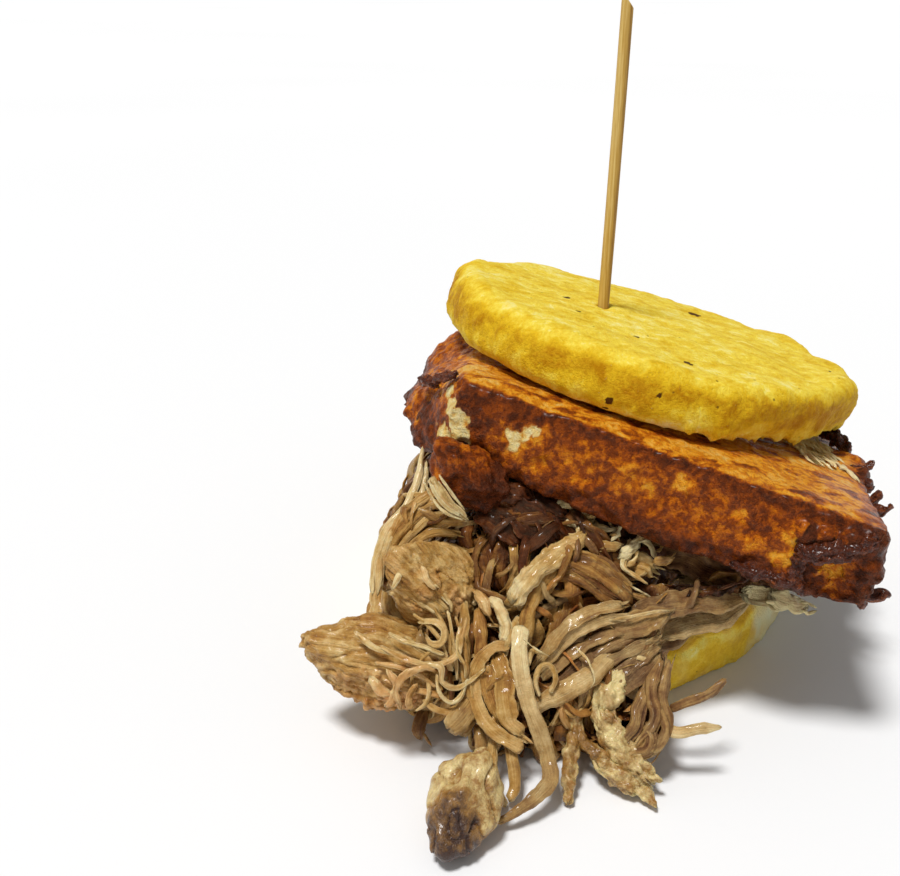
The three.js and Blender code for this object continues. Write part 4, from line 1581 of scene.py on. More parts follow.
@dataclass
class FrontStrips:
    """The strips that lie on the pile's front, each with its own course."""

    slope: Slope = field(default_factory=Slope)
    flank: Flank = field(default_factory=Flank)
    ribbon_seed: int = 61
    string_seed: int = 62
    lump_seed: int = 63

    def ribbons(self) -> list[Strip]:
        """Returns the broad strips."""
        at = self.slope.at
        tail = [(-13.2, -75.8, 6), (-16.4, -79, 4.8), (-19.8, -81, 3.6), (-22.8, -82, 2.4)]
        return [
            Strip(at((-17.4, 22.5, 4), (-18, 19.5, 5), (-17.8, 16, 5.4), (-16.6, 12, 5.2), (-14.8, 8.5, 4.8),
                (-13.2, 5, 4)) + tail, 3.1, 1.2, 0.08, fade=0.5, hue=0.5, ends=(1.0, 0.42), grooves=0.03,
                lumps=0.14, torn=0.15),
            Strip(at((-16, 11.6, 1), (-13, 12.6, 2.5), (-9, 14, 3.4), (-5, 15.8, 3.4), (-2, 17.6, 2.4),
                (0, 19, 0.6)), 3.7, 2.4, 0.34, hue=0.4, ends=(0.9, 0.8), grooves=0.03),
            Strip(at((-15, 17, 1), (-11.5, 20.4, 3.4), (-8, 22.8, 4.2), (-3, 24.6, 4.2), (2, 25.2, 4)), 2.6,
                1.0, 0.42, hue=0.5, ends=(0.55, 0.8), curl=0.2, grooves=0.1, roll=20),
            Strip(at((-14.4, 16.4, 1), (-10.6, 19.4, 3), (-7, 21.6, 3.8), (-2, 23.2, 3.8), (3, 23.8, 3.4)),
                2.2, 0.9, 0.36, hue=0.6, ends=(0.55, 0.8), curl=0.2, grooves=0.1, roll=-15),
            Strip([(-2, -54, 23.2), (3, -54.8, 24.8), (7.6, -53.6, 25.6), (12.2, -51.4, 26.2)], 5.0, 0.9,
                0.56, fade=-0.05, hue=0.5, ends=(0.5, 0.1), grooves=0.08, lumps=0.2, torn=0.3),
            Strip([(-1, -54.6, 25.8), (3, -55.4, 27.2), (7.6, -54.2, 27.4), (12.3, -51.8, 26.4)], 0.7, 0.6,
                0.2, hue=0.3, ends=(0.5, 0.3), torn=0.2),
            Strip([(-1, -54.6, 21.4), (3.4, -55.2, 22.5), (8, -54, 23.6), (12.2, -51.6, 26)], 0.8, 0.6, 0.24,
                hue=0.3, ends=(0.5, 0.3), torn=0.2),
            Strip(at((-13.4, 15.4, 1), (-9, 18.2, 2.4), (-4, 20.4, 3), (1, 21.8, 2.8), (6, 22.8, 2)), 2.5,
                0.9, 0.46, hue=0.6, ends=(0.7, 0.5), curl=0.16, grooves=0.1, roll=25),
            Strip(at((-12, 14.6, 0.5), (-7, 17.2, 2), (-2, 19.4, 2.4), (3, 21, 2.2), (8, 22, 1)), 2.4, 0.9,
                0.56, hue=0.6, ends=(0.9, 0.6), curl=-0.14, grooves=0.1),
            Strip(at((-7, 15.6, 1), (-1, 17.8, 2.4), (4, 19.6, 2.4), (8.6, 21, 1.4)), 2.4, 0.9, 0.48,
                hue=0.7, ends=(0.8, 0.5), curl=0.2, grooves=0.1, torn=0.7, roll=-20),
            Strip(at((-3, 14.4, 1), (1.6, 16.6, 2), (6, 18.6, 2), (9, 20, 1.2)), 2.4, 0.9, 0.58, hue=0.7,
                ends=(0.8, 0.5), curl=0.16, grooves=0.1, torn=0.7),
            Strip(at((-3, 12.4, 1), (2, 14.6, 1.8), (6, 17, 1.8), (8.8, 19, 1)), 3.0, 0.9, 0.62, hue=0.7,
                ends=(0.8, 0.5), curl=0.1, grooves=0.1, torn=0.7),
            Strip([(4, -51.6, 26.4), (10.6, -51, 26.9), (17, -49, 26.7), (23, -47, 25.6), (29.6, -44.6, 25)],
                5.6, 0.6, 0.7, fade=-0.26, hue=0.6, ends=(0.5, 0.14), grooves=0.04, lumps=0.14, torn=0.3),
            Strip([(8, -51.4, 20.4), (13, -50, 21.8), (18.6, -48.4, 22), (24, -46.6, 22.6),
                (28.8, -45, 24.2)], 5.8, 0.5, 0.52, fade=-0.16, hue=0.8, ends=(0.9, 0.2), grooves=0.04,
                lumps=0.14, torn=0.3),
            Strip([(29.8, -45, 24.9), (27.2, -45.6, 22.6), (24.6, -46.8, 20.8), (20.4, -48.2, 19.8),
                (16, -49.6, 19)], 0.8, 0.5, 0.08, hue=0.7, ends=(0.6, 0.3), torn=0.4),
            Strip([(4, -53, 19), (9, -51.6, 18.4), (13.6, -50, 18.6), (17, -49, 19.4)], 3.4, 0.8, 0.56,
                hue=0.6, ends=(0.7, 0.3), grooves=0.1, torn=0.4),
            Strip(at((-17, 20, 1.5), (-16.2, 24, 3), (-14.4, 27.4, 4), (-11.4, 30.2, 4), (-8, 31.6, 3)), 2.9,
                1.6, 0.42, fade=0.1, ends=(0.9, 1.0), grooves=0.16),
            Strip(at((-8, 26, 0), (-10, 21.5, 0.6), (-12, 17, 0.4)), 4.6, 1.2, 0.68, hue=0.1, grooves=0.2),
            Strip(at((-5, 25.5, 0), (-7, 21.5, 0.8), (-9.4, 18, 0.8)), 2.6, 1.2, 0.6, hue=0.2),
            Strip(at((-18.6, 26, 4), (-16.6, 28.4, 5.4), (-13.6, 30.6, 5.6), (-10, 32.6, 5), (-6, 34.6, 4),
                (-3, 37, 3)), 4.2, 3.0, 0.22, fade=0.14, ends=(0.9, 0.15), grooves=0.12, lumps=0.5,
                torn=0.6),
            Strip(at((-18, 24, 2.6), (-19.4, 21.4, 3.2), (-20.6, 19, 3)), 2.0, 1.6, 0.2, lumps=0.4),
            Strip(at((-22, 30.4, 0.5), (-17, 32, 1.4), (-11, 32.4, 1.2)), 2.4, 1.4, 0.42, hue=0.4),
            Strip(at((-19.6, 19.6, 3.5), (-22.6, 19.6, 3.8), (-25.4, 17.8, 3.4), (-26.6, 14.6, 3.2),
                (-25.4, 11, 3.2), (-23, 8.6, 3.6), (-20, 7.2, 3.8), (-17.6, 6.4, 3.2)), 2.7, 0.8, 0.36,
                hue=-0.1, ends=(0.7, 1.0), grooves=0.06, lumps=0.2, torn=0.2, curl=0.12),
            Strip(at((-24.6, 17.6, 2.4), (-24, 15, 3), (-22.8, 12, 3), (-21.4, 9.6, 2.6)), 3.2, 1.2, 0.5,
                hue=-0.2, grooves=0.14, lumps=0.24, ends=(0.9, 0.6), curl=0.2),
            Strip(at((-22.2, 19, 2.4), (-21, 16, 3.4), (-20.6, 12.4, 3.6), (-20, 9.8, 3.4), (-17.6, 8.4, 3)),
                3.4, 1.4, 0.44, fade=-0.14, hue=-0.1, grooves=0.12, lumps=0.34, ends=(0.9, 0.7), curl=0.24),
            Strip([(-22.8, -67, 9), (-23.4, -70.5, 5.6), (-23, -74, 3), (-21, -77, 1.4)], 2.3, 1.6, 0.34,
                ends=(0.7, 0.7), torn=0.2),
            Strip([(-20.6, -67, 9.4), (-19.6, -70.6, 6.4), (-19.2, -74, 3.4), (-20.4, -76.4, 2)], 2.3, 1.5,
                0.4, ends=(0.7, 0.7), torn=0.2),
            Strip(at((9, 18, 2), (6.5, 14, 3), (7, 10, 3), (3, 6.5, 2)), 2.6, 2.0, 0.56, hue=0.5,
                grooves=0.24),
            Strip(at((10.5, 18, 1.5), (8.5, 13.5, 2.5), (9, 9, 2.6), (6, 5.5, 1.6)), 2.4, 1.8, 0.54, hue=0.5,
                grooves=0.24),
            Strip(at((7, 16, 1.5), (4.5, 12, 2.4), (3, 9, 2.6), (0, 6.5, 1.4)), 2.8, 1.8, 0.6, hue=0.5,
                grooves=0.26),
            Strip(at((4, 10, 1.5), (6, 8, 3), (5, 6, 2.6), (1, 5.5, 1.6)), 2.6, 1.9, 0.54, hue=0.5,
                grooves=0.24),
            Strip(at((7.4, 12, 3), (8.6, 9, 3.6), (7, 6.6, 3.4), (3.6, 6.2, 2.6)), 1.8, 1.5, 0.5, hue=0.5,
                grooves=0.2),
            Strip([(14, -44, 27.5), (22, -44, 26.5), (29, -43, 25.5)], 5.0, 0.8, 0.5, hue=0.5, torn=0.9,
                grooves=0.05),
            Strip([(9, -41, 33), (16, -42, 31.6), (23, -43, 28.6), (30, -43, 26)], 5.6, 0.8, 0.72, hue=0.4,
                torn=0.8, grooves=0.06, curl=0.1),
            Strip([(12, -40, 31), (20, -40, 29), (28, -40, 27), (35, -40, 25)], 6.0, 1.0, 0.8, hue=0.3,
                torn=0.6),
            # These two pale strips lie in the slab's shadow; their palest tone is partly their own pale
            # colour, partly painted light against that shadow.
            Strip([(27, -47, 27), (31, -47, 26), (36, -46, 24.6)], 5.0, 0.6, 0.0, hue=0.9, torn=0.6,
                grooves=0.03, lumps=0.2, curl=0.16),
            Strip([(32, -47, 27), (36, -47, 25), (40, -46, 23.4)], 4.0, 0.6, 0.04, hue=0.9, torn=0.7,
                grooves=0.03, lumps=0.2),
            Strip(at((-23, 40.5, 2), (-19.4, 39.4, 4.4), (-15.4, 37.2, 5.4), (-11, 35, 4.6),
                (-8, 33.6, 3.4)), 6.4, 1.4, 0.96, hue=-0.6, ends=(0.5, 0.5), curl=0.2, lumps=0.4, torn=0.7,
                grooves=0.04),
            Strip(at((-25, 42, 2), (-22, 42, 4), (-18.6, 41.4, 4.4), (-15, 40.6, 3.4)), 5.0, 2.6, 0.88,
                hue=-0.6, ends=(0.7, 0.5), lumps=0.6, torn=0.7, grooves=0.04),
            Strip(at((-22, 39, 1.4), (-19.6, 38, 2.6), (-17, 36.8, 2.4)), 3.4, 2.0, 0.3, hue=-0.2,
                lumps=0.4),
            Strip(at((-17, 42, 1), (-12.6, 40, 2.6), (-8.4, 38.4, 2.4)), 4.6, 2.4, 0.98, hue=-0.5,
                lumps=0.3),
            Strip(at((-26, 38.6, 3), (-22.4, 37.4, 4.6), (-18.6, 35.4, 4.6), (-15.6, 33, 3.4)), 5.0, 1.6,
                0.98, hue=-0.4, ends=(0.6, 0.4), curl=0.2, lumps=0.4, torn=0.6, grooves=0.06),
            Strip([(-44.6, -34, 22), (-45.4, -37, 19), (-45, -41, 16), (-43, -46, 14.4)], 4.6, 2.0, 0.34,
                torn=0.6),
            Strip([(-42, -38, 25), (-42.6, -42, 22), (-41, -47, 20), (-38, -51, 19.4)], 4.4, 2.0, 0.4,
                torn=0.6),
            Strip([(-46, -30, 18), (-47, -34, 15), (-46.6, -39, 12.4), (-44, -44, 11)], 3.4, 1.8, 0.44,
                torn=0.6),
        ]

    def strings(self) -> list[Strip]:
        """Returns the narrow strips, loops and spikes."""
        at, by = self.slope.at, self.flank.at
        return [
            Strip(at((-36.6, 49, 2), (-37.4, 44.5, 2.6), (-39.6, 40, 3), (-43, 37, 3), (-45, 33.5, 2.6),
                (-46, 30, 2.2), (-46, 27.2, 2)), 1.8, 1.0, 0.1, ends=(0.5, 0.6), torn=0.4),
            Strip(at((-35.6, 46, 2), (-36.9, 41.4, 2.6), (-39.6, 38, 3.4), (-42.4, 35.5, 3.2),
                (-44, 32, 2.6), (-44.2, 28.2, 2)), 1.6, 0.9, 0.16, ends=(0.5, 0.4), torn=0.4),
            Strip(at((-35.8, 47, 2), (-36, 42, 2), (-36.6, 38.5, 1.8)), 1.0, 0.8, 0.12, ends=(0.6, 0.2)),
            Strip(at((-44, 33.5, 2.4), (-40, 38.2, 3.8), (-35.5, 41, 4.6), (-31.6, 41.8, 4.2),
                (-29.2, 39.6, 3.4), (-31, 37.4, 3.2), (-34, 36.4, 2.6)), 2.0, 1.5, 0.36, hue=-0.1),
            Strip(at((-43.6, 32.8, 2.4), (-39.4, 36.8, 3.8), (-35, 39.4, 4.6), (-31.4, 40, 4.2),
                (-30.2, 38.6, 3.6), (-33, 37, 3.2), (-37, 35.4, 2.6)), 1.9, 1.4, 0.44),
            Strip(at((-43.2, 31.8, 2), (-39, 35.4, 3.2), (-35.4, 37.8, 3.8), (-32.4, 38.2, 3.4),
                (-33.5, 36.4, 3)), 1.8, 1.3, 0.3),
            Strip(at((-42, 31, 1.8), (-38, 34.4, 2.8), (-34, 36, 3), (-29.6, 35.8, 2.2)), 1.9, 1.3, 0.4),
            Strip(at((-44.6, 33, 2.6), (-44.8, 30, 2.6), (-45, 27, 2.2)), 1.4, 1.1, 0.3, torn=0.6),
            Strip(at((-14.5, 13, 4), (-15.2, 15, 5), (-14.2, 16.8, 5.6), (-12.4, 16.9, 5.6),
                (-11.6, 15.2, 5.4), (-12.6, 13.4, 4.6)), 1.0, 1.7, 0.2, ends=(0.8, 0.8), torn=0.2),
            Strip(at((-16.4, 17, 4), (-15.6, 19, 4.6), (-14, 18.6, 4.2)), 0.9, 1.3, 0.24, torn=0.2),
            Strip(at((10, 11.6, 1), (13, 12.3, 3), (17, 13.4, 4), (20.2, 15.3, 4.6)), 1.8, 1.3, 0.6, hue=0.5,
                ends=(1.0, 0.55), torn=0.1),
            Strip(at((8.5, 9.2, 1), (11, 8.4, 3), (15, 8.9, 4), (18.6, 9, 4.4)), 2.2, 1.2, 0.24, hue=0.5,
                ends=(1.1, 0.4), torn=0.1),
            Strip(by((-28, 27, 3), (-29, 23.5, 4), (-30, 20.5, 5), (-34.2, 19, 6), (-39.2, 20.2, 6),
                (-44, 22, 4)), 1.2, 0.7, 0.24, hue=-0.2),
            Strip(by((-39, 19, 5), (-33, 19, 6.4), (-32.5, 16.2, 6.6), (-30, 15, 6), (-27.4, 16, 5),
                (-24.5, 18, 4)), 1.2, 0.8, 0.16),
            Strip(by((-33.5, 17.5, 6), (-33, 14.4, 6.6), (-31, 12.5, 6.4), (-29, 13.6, 6), (-27.8, 16.4, 5)),
                0.9, 0.5, 0.12),
            Strip(by((-29.2, 25.4, 3), (-29.6, 21.4, 5), (-28.2, 18.6, 5.4), (-28.2, 16.6, 5)), 0.9, 0.6,
                0.2),
            Strip(by((-37, 26, 2), (-33.8, 26.2, 3.4), (-32.2, 25, 4), (-32.6, 23, 4.4), (-34.4, 22.6, 4),
                (-35.6, 24, 3)), 1.4, 0.4, 0.3, hue=-0.1, torn=0.8, curl=0.2),
            Strip(by((-38, 27.4, 1), (-35.6, 26, 2.6), (-33, 23.4, 3.4), (-31.4, 20, 4)), 0.9, 0.6, 0.3),
            Strip(by((-34, 28.6, 1), (-32.4, 26, 2.6), (-31, 22.6, 3.4), (-30.6, 18, 4)), 1.0, 0.6, 0.36),
            Strip(by((-31.4, 28, 1), (-30.8, 25, 2.6), (-30.2, 21, 3.6), (-29.6, 16, 4)), 0.9, 0.6, 0.26),
            Strip(by((-30, 27, 2), (-28.6, 23, 3.4), (-27.8, 19, 4), (-28, 14, 4)), 0.9, 0.6, 0.34,
                hue=-0.2),
            Strip(by((-42.6, 24, 2), (-39.6, 22.8, 3.6), (-36, 22, 4.4), (-32, 20.6, 4.6)), 1.0, 0.6, 0.22),
            Strip(by((-45, 19, 3.6), (-41, 18.6, 4.8), (-37, 17.4, 5.4), (-33.6, 15, 5.4)), 1.0, 0.6, 0.24,
                hue=-0.3),
            Strip(by((-43.6, 16, 3.6), (-39.6, 14.6, 5), (-35.6, 14.2, 5.4), (-31.6, 12.8, 5)), 1.1, 0.7,
                0.3, hue=-0.3),
            Strip(by((-35.4, 17, 5), (-34.8, 14.4, 5.8), (-35.6, 12, 5.4), (-37.4, 10.6, 4.6)), 0.9, 0.6,
                0.22),
            Strip(by((-31.8, 24, 3), (-34.6, 21.4, 4.2), (-37.4, 18.4, 4.8), (-38.4, 14.6, 5)), 0.8, 0.5,
                0.3),
            Strip(by((-40, 11, 5), (-40.8, 13.4, 6), (-40.7, 15.6, 6.6), (-39, 17.6, 6.8), (-36, 18.8, 6.6),
                (-33.6, 18, 6)), 1.5, 0.9, 0.24, hue=-0.45, lumps=0.3),
            Strip(by((-38.6, 11, 5), (-38.4, 13.6, 6), (-37, 15.8, 6.2)), 1.3, 0.9, 0.3, hue=-0.4,
                lumps=0.3),
            Strip(by((-42, 20.6, 4), (-45.4, 22, 4), (-49, 24.6, 2.4)), 1.2, 0.8, 0.2),
            Strip(by((-30.6, 17.6, 4), (-32.2, 20, 4), (-36.2, 21.4, 4), (-39.4, 23.4, 3)), 1.3, 0.8, 0.3),
            Strip(by((-36, 12.6, 5), (-33.6, 11, 5.4), (-31, 10.6, 5), (-28.6, 12, 4)), 1.3, 1.0, 0.34,
                hue=-0.2),
            Strip(by((-42.6, 18, 4.6), (-41, 15.6, 5.6), (-41.6, 13, 5.4), (-43, 11.4, 4.6)), 1.5, 1.1, 0.22,
                hue=-0.4, lumps=0.4),
            Strip(by((-46, 16.6, 4.6), (-44, 14.4, 5), (-42, 13.6, 5)), 1.8, 1.2, 0.2, hue=-0.5, lumps=0.4),
            Strip(at((-28.2, 26, 2), (-28.2, 21, 3.4), (-28, 16.4, 3.4), (-27, 12.6, 3)), 2.4, 1.4, 0.42,
                grooves=0.25),
            Strip(at((-25.6, 25, 2), (-25.2, 21, 3), (-25.4, 17, 2.8)), 2.4, 1.5, 0.5, hue=-0.2),
            Strip(at((-23.6, 26.6, 2), (-21.6, 25, 3.4), (-20.4, 22.6, 3.6), (-21.2, 20.4, 3)), 2.4, 2.0,
                0.14, hue=-0.1, lumps=0.5),
            Strip(at((-26, 27.6, 2), (-24.6, 26, 3), (-23.6, 24, 3)), 2.2, 1.8, 0.3, hue=-0.3, lumps=0.4),
            Strip([(-25.6, -62, 14.6), (-27.8, -64.4, 12.8), (-29.8, -66, 11.2), (-31.2, -66.6, 10)], 4.4,
                2.6, 0.44, hue=0.3, ends=(0.6, 1.0), lumps=0.5, grooves=0.06, torn=0.2),
            Strip([(-27, -64, 11), (-28.4, -66, 9.4), (-28.4, -66.6, 8.4)], 3.0, 2.4, 0.5, hue=0.3,
                ends=(0.7, 1.0), lumps=0.5, grooves=0.06, torn=0.2),
            Strip([(-25.6, -64, 9), (-25.2, -67, 6.6), (-25.4, -68, 5)], 2.4, 2.0, 0.5, hue=0.3, torn=0.2),
            Strip([(-36, -58, 8), (-37, -61, 5.6), (-36.6, -62, 4)], 2.6, 2.0, 0.7, hue=0.3, torn=0.5),
            Strip(at((4.6, 35.4, 1), (3.8, 33, 1.8), (3, 31, 2.4), (5, 29.6, 2.8), (7.2, 28.4, 3)), 1.1, 0.8,
                0.2, hue=-0.1),
            Strip(at((3.2, 33, 2), (2.6, 31, 2.8), (4, 30, 2.8)), 0.9, 0.7, 0.14),
            Strip(at((1.2, 37.6, 0.6), (1.8, 36, 1.6), (2.4, 34.4, 2)), 1.0, 0.6, 0.06, ends=(0.9, 0.2)),
            Strip(at((-38.6, 32, 6), (-40.4, 29.6, 6.2), (-42, 27.4, 5.4)), 1.3, 1.0, 0.1, torn=0.2),
            Strip(at((-36.4, 30.6, 6), (-35.4, 28.6, 6.2), (-33.6, 27.2, 6)), 1.5, 1.2, 0.26, hue=-0.2,
                lumps=0.3),
            Strip(at((-17.4, 20.4, 6.6), (-14.6, 18.8, 6.8), (-12.4, 18.2, 5)), 0.3, 0.3, 0.02),
            Strip(at((-7.6, 19.4, 5.6), (-5.4, 17.4, 6.2), (-4.4, 15.2, 5.6), (-5, 14, 4.6)), 0.4, 0.35,
                0.06),
        ]

    def lumps(self) -> list[Strip]:
        """Returns the crumbly pale bits under the slab's near edge."""
        rng = np.random.default_rng(self.lump_seed)
        out = []
        for _ in range(46):
            x = rng.uniform(-14, 11)
            z = 36.6 - 0.34 * x + rng.uniform(-4.4, 1.6)
            size, lift, lean = rng.uniform(0.7, 2.2), rng.uniform(0.4, 3.0), rng.normal(0, 0.8)
            run = self.slope.at(
                (x - size, z + lean, lift),
                (x, z + 0.5 * lean, lift + 0.4),
                (x + size, z - lean, lift),
            )
            tone = float(np.clip(rng.normal(0.24, 0.18), 0, 0.7))
            out.append(
                Strip(
                    run, size, size * 0.7, tone, hue=0.1, ends=(0.8, 0.6), lumps=0.5, grooves=0.05, torn=0.8,
                    twist=float(rng.normal(0, 60)),
                )
            )
        return out

    def bundles(self) -> list[Bundle]:
        """Returns the muscles whose fibres still lie side by side."""
        at = self.slope.at
        return [
            Bundle(at((-13, 30, 1.5), (-8.4, 31.4, 3), (-3.6, 30, 3.6), (0, 28, 3.2), (3.4, 26, 2.4)), 7.0,
                3.0, 9, 0.52, 91, hue=0.1, pinch=(0.5, 0.8)),
            Bundle([(-34.6, -43, 50.4), (-33.2, -44.2, 48), (-31, -44.8, 45), (-27.4, -44.4, 42)], 3.8, 0.9,
                9, 0.16, 92, hue=0.1, pinch=(0.9, 0.3)),
            Bundle(at((-43, 28, 0.6), (-39, 28.6, 2), (-35, 27, 2.6), (-31, 24.6, 2.6)), 5.6, 2.6, 7, 0.3,
                96, hue=0.2, pinch=(0.5, 0.8)),
            Bundle(at((-24, 36, 0), (-22.6, 32, 0.6), (-21.4, 28, 0.4)), 6.0, 2.0, 6, 0.86, 93, hue=-0.3),
            Bundle(at((-9, 35, 0), (-4, 33.4, 0.8), (2, 31.4, 0.8), (7, 30, 0.4)), 5.6, 2.0, 6, 0.66, 94),
            Bundle(at((10, 26, 0.4), (5.4, 21.4, 1), (0.6, 17, 0.8), (-3, 14, 0)), 7.0, 1.8, 7, 0.58, 95,
                hue=0.3),
        ]

    def make(self, finish: Material) -> None:
        """Builds all the front strips.

        Args:
            finish: their material.
        """
        ribbons = self.ribbons() + self.lumps()
        for bundle in self.bundles():
            ribbons += bundle.strips()
        for name, strips, seed in (
            ("pork_front_ribbons", ribbons, self.ribbon_seed),
            ("pork_front_strings", self.strings(), self.string_seed),
        ):
            maker = StripMaker(seed)
            for strip in strips:
                step = COARSE_STEP if strip.width > WIDE_STRIP else FINE_STEP
                maker.add(replace(strip, step=step))
            maker.body().piece(name, finish, "pork", "pork_heap")


@dataclass(frozen=True)
class Chunk:
    """A torn chunk of meat with one long grain."""

    node: str
    route: Sequence[Place]
    face: Place
    seed: int
    tone: float
    amber: tuple[Spot, ...]
    pulls: tuple[Pull, ...] = ()
    step: float = 0.27

    def _along(self, points: Array) -> Array:
        """Measures points against the grain's route.

        Args:
            points: places in mm.

        Returns:
            How far across, over and along the route each one is.
        """
        run = StripMaker.course(np.array(self.route, float), 80)
        tangent = unit(np.gradient(run, axis=0))
        across = unit(np.cross(tangent, self.face))
        up = np.cross(across, tangent)
        near = np.argmin(((points[:, None] - run[None]) ** 2).sum(-1), axis=1)
        offset = points - run[near]
        far = near * np.linalg.norm(run[1] - run[0]) + (offset * tangent[near]).sum(1)
        return np.stack([(offset * across[near]).sum(1), (offset * up[near]).sum(1), far], axis=1)

    def make(self, finish: Material) -> None:
        """Builds the chunk.

        Args:
            finish: its material.
        """
        body = skin_of(self.node, self.step, 3)
        grain = Grain(self.seed)
        body.pull(*self.pulls)
        ways = self._along(body.points)
        bend = ways + 0.5 * np.stack([grain.at(body.points + k, 6) for k in (0, 30, 60)], axis=1)
        drawn = bend * (1, 1, 0.09)
        broad = grain.at(drawn, 2.2)
        split = crest(broad, 0.16) * ease(grain.at(body.points + 5, 4), -0.4, 0.2)
        fine = grain.at(drawn * (1, 1, 0.5) + 40, 0.8)
        thin = grain.at(drawn * (1, 1, 0.5) + 90, 0.45)
        waves = 0.5 * grain.layers(body.points, 6, 3)
        body.swell(waves + 0.45 * broad - 0.6 * split + 0.3 * fine + 0.2 * thin)
        p = body.points
        golden = Spot.strongest(self.amber, p, 0.5 * grain.layers(p, 2.2, 3))
        body.swell(golden * (0.5 + 0.8 * grain.layers(body.points, 1.4, 2)))
        body.marks["grain"] = ways * (1, 1, 0.06)
        # Painted shade and light: darker in the splits, lighter on the raised fibres.
        tone = self.tone + 0.14 * split - 0.12 * fine - 0.08 * thin
        body.marks["tone"] = tone + 0.1 * grain.at(p, 5) - 0.12 * golden
        body.marks["hue"] = -0.1 - 0.5 * golden
        body.marks["tip"] = np.zeros(len(body.points))
        body.piece(f"{self.node}_meat", finish, "pork_browned", self.node)


def pork_chunks() -> tuple[Chunk, Chunk]:
    """Returns the two chunks on the pile's left."""
    upper = Chunk(
        "pork_chunk_upper",
        [(-46, -39, 38), (-38, -45, 34), (-30, -50, 28.6), (-22, -55, 22)],
        (0.0, -0.73, 0.68), 71, 0.34,
        (Spot(-36, -48, 29, 5.0, 0.45), Spot(-30, -52, 27, 5.0, 0.5), Spot(-26, -54, 24, 4.0, 0.5)),
        (Pull((-43, -40, 38), (0.6, 0, -1.2), 8), Pull((-24, -55, 22), (2.4, -1.2, -1.4), 9)),
    )
    left = Chunk(
        "pork_chunk_left",
        [(-57.6, -54, 18), (-53.6, -55, 18.2), (-48, -55.6, 17.4), (-42, -56, 16.4),
         (-36, -56.8, 15), (-31, -57.6, 13.6)],
        (0.1, -0.86, 0.5), 72, 0.36,
        (Spot(-50, -60, 13, 5.0, 0.6), Spot(-46, -62, 10.4, 4.4), Spot(-43, -63, 9.4, 4.4),
         Spot(-39, -62, 12, 4.0), Spot(-46, -61, 17, 3.0, 0.7)),
        (Pull((-48, -54, 23), (-0.6, 0.6, 3.0), 13), Pull((-57, -55, 19), (0.4, 0, 2.6), 7)),
    )
    return upper, left


@dataclass
class FatPieces:
    """The knob of fat and gristle, and the crumbly fat beside it."""

    knob_seed: int = 81
    crumble_seed: int = 82

    def knob(self, finish: Material) -> None:
        """Builds the knob.

        Args:
            finish: its material.
        """
        body = skin_of("fat_knob", 0.4, 3)
        grain = Grain(self.knob_seed)
        body.pull(
            Pull((-24.5, -76, 11.5), (1.6, 2.0, 3.0), 6),
            Pull((-34, -80, 12.6), (2.4, 0.6, -1.6), 7),
            Pull((-34.5, -82, 16), (3.4, 0.4, -2.8), 8),
            Pull((-34, -82.5, 13), (1.6, 0.4, -2.2), 5),
            Pull((-32, -88, 4), (-1.2, -1.2, -0.4), 6),
            Pull((-26, -87, 9), (0, 1.0, -0.8), 4),
        )
        p = body.points
        drawn = p * (1, 0.45, 0.45)
        crease = -crest(grain.at(drawn, 3.4), 0.12)
        body.swell(0.6 * grain.at(p, 5) + 0.45 * grain.layers(drawn, 2.4, 3) + 0.7 * crease)
        body.rest(LOWEST_KNOB)
        middle = np.linalg.norm((p - (-31, -88.4, 6.6)) * (1, 1, 0.9), axis=1)
        middle = middle + 1.8 * grain.layers(p, 3, 3)
        foot = ease(5.5 - p[:, 2], 0, 4)
        browned = 1 - ease(middle, 3.0, 7.4)
        # Painted shade in the creases; the tone is also darker towards the bottom and in the browned middle.
        body.marks["tone"] = 0.18 + 0.54 * browned + 0.34 * foot - 0.22 * crease
        body.piece("fat_knob_skin", finish, "fat", "fat_knob")

    def crumble(self, finish: Material) -> None:
        """Builds the crumbly fat.

        Args:
            finish: its material.
        """
        maker = StripMaker(self.crumble_seed)
        runs = [
            ([(2, -58, 17), (-1, -62, 15), (-3, -65, 12)], 4.6, 3.4, 0.02),
            ([(-3, -64, 13), (-1, -67, 9), (2, -70, 6), (5.5, -73, 3)], 5.4, 4.0, 0.1),
            ([(-8, -61, 14), (-7.6, -64, 11), (-6.5, -67, 8), (-2, -70, 5)], 2.6, 2.2, 0.24),
            ([(-8, -66, 9), (-9, -70, 5), (-9.6, -74, 2.2), (-9.8, -76, 1.2)], 2.8, 2.2, 0.2),
            ([(2, -69, 6), (5, -72, 4.4), (7.4, -73.5, 4)], 2.0, 1.6, 0.05),
            ([(1, -71, 4), (4, -74.5, 2.4), (6, -77, 1.4)], 2.2, 1.8, 0.08),
            ([(-4, -69, 6), (0, -72, 3.6), (3, -74, 2.2)], 4.4, 3.4, 0.12),
        ]
        for route, width, thick, tone in runs:
            maker.add(
                Strip(
                    route, width, thick, tone=tone + 0.08, grooves=0.05, lumps=0.75, torn=0.4, step=0.26,
                )
            )
        maker.body().piece("pork_fat_crumble", finish, "fat", "pork_heap")


# ---- Studio ----


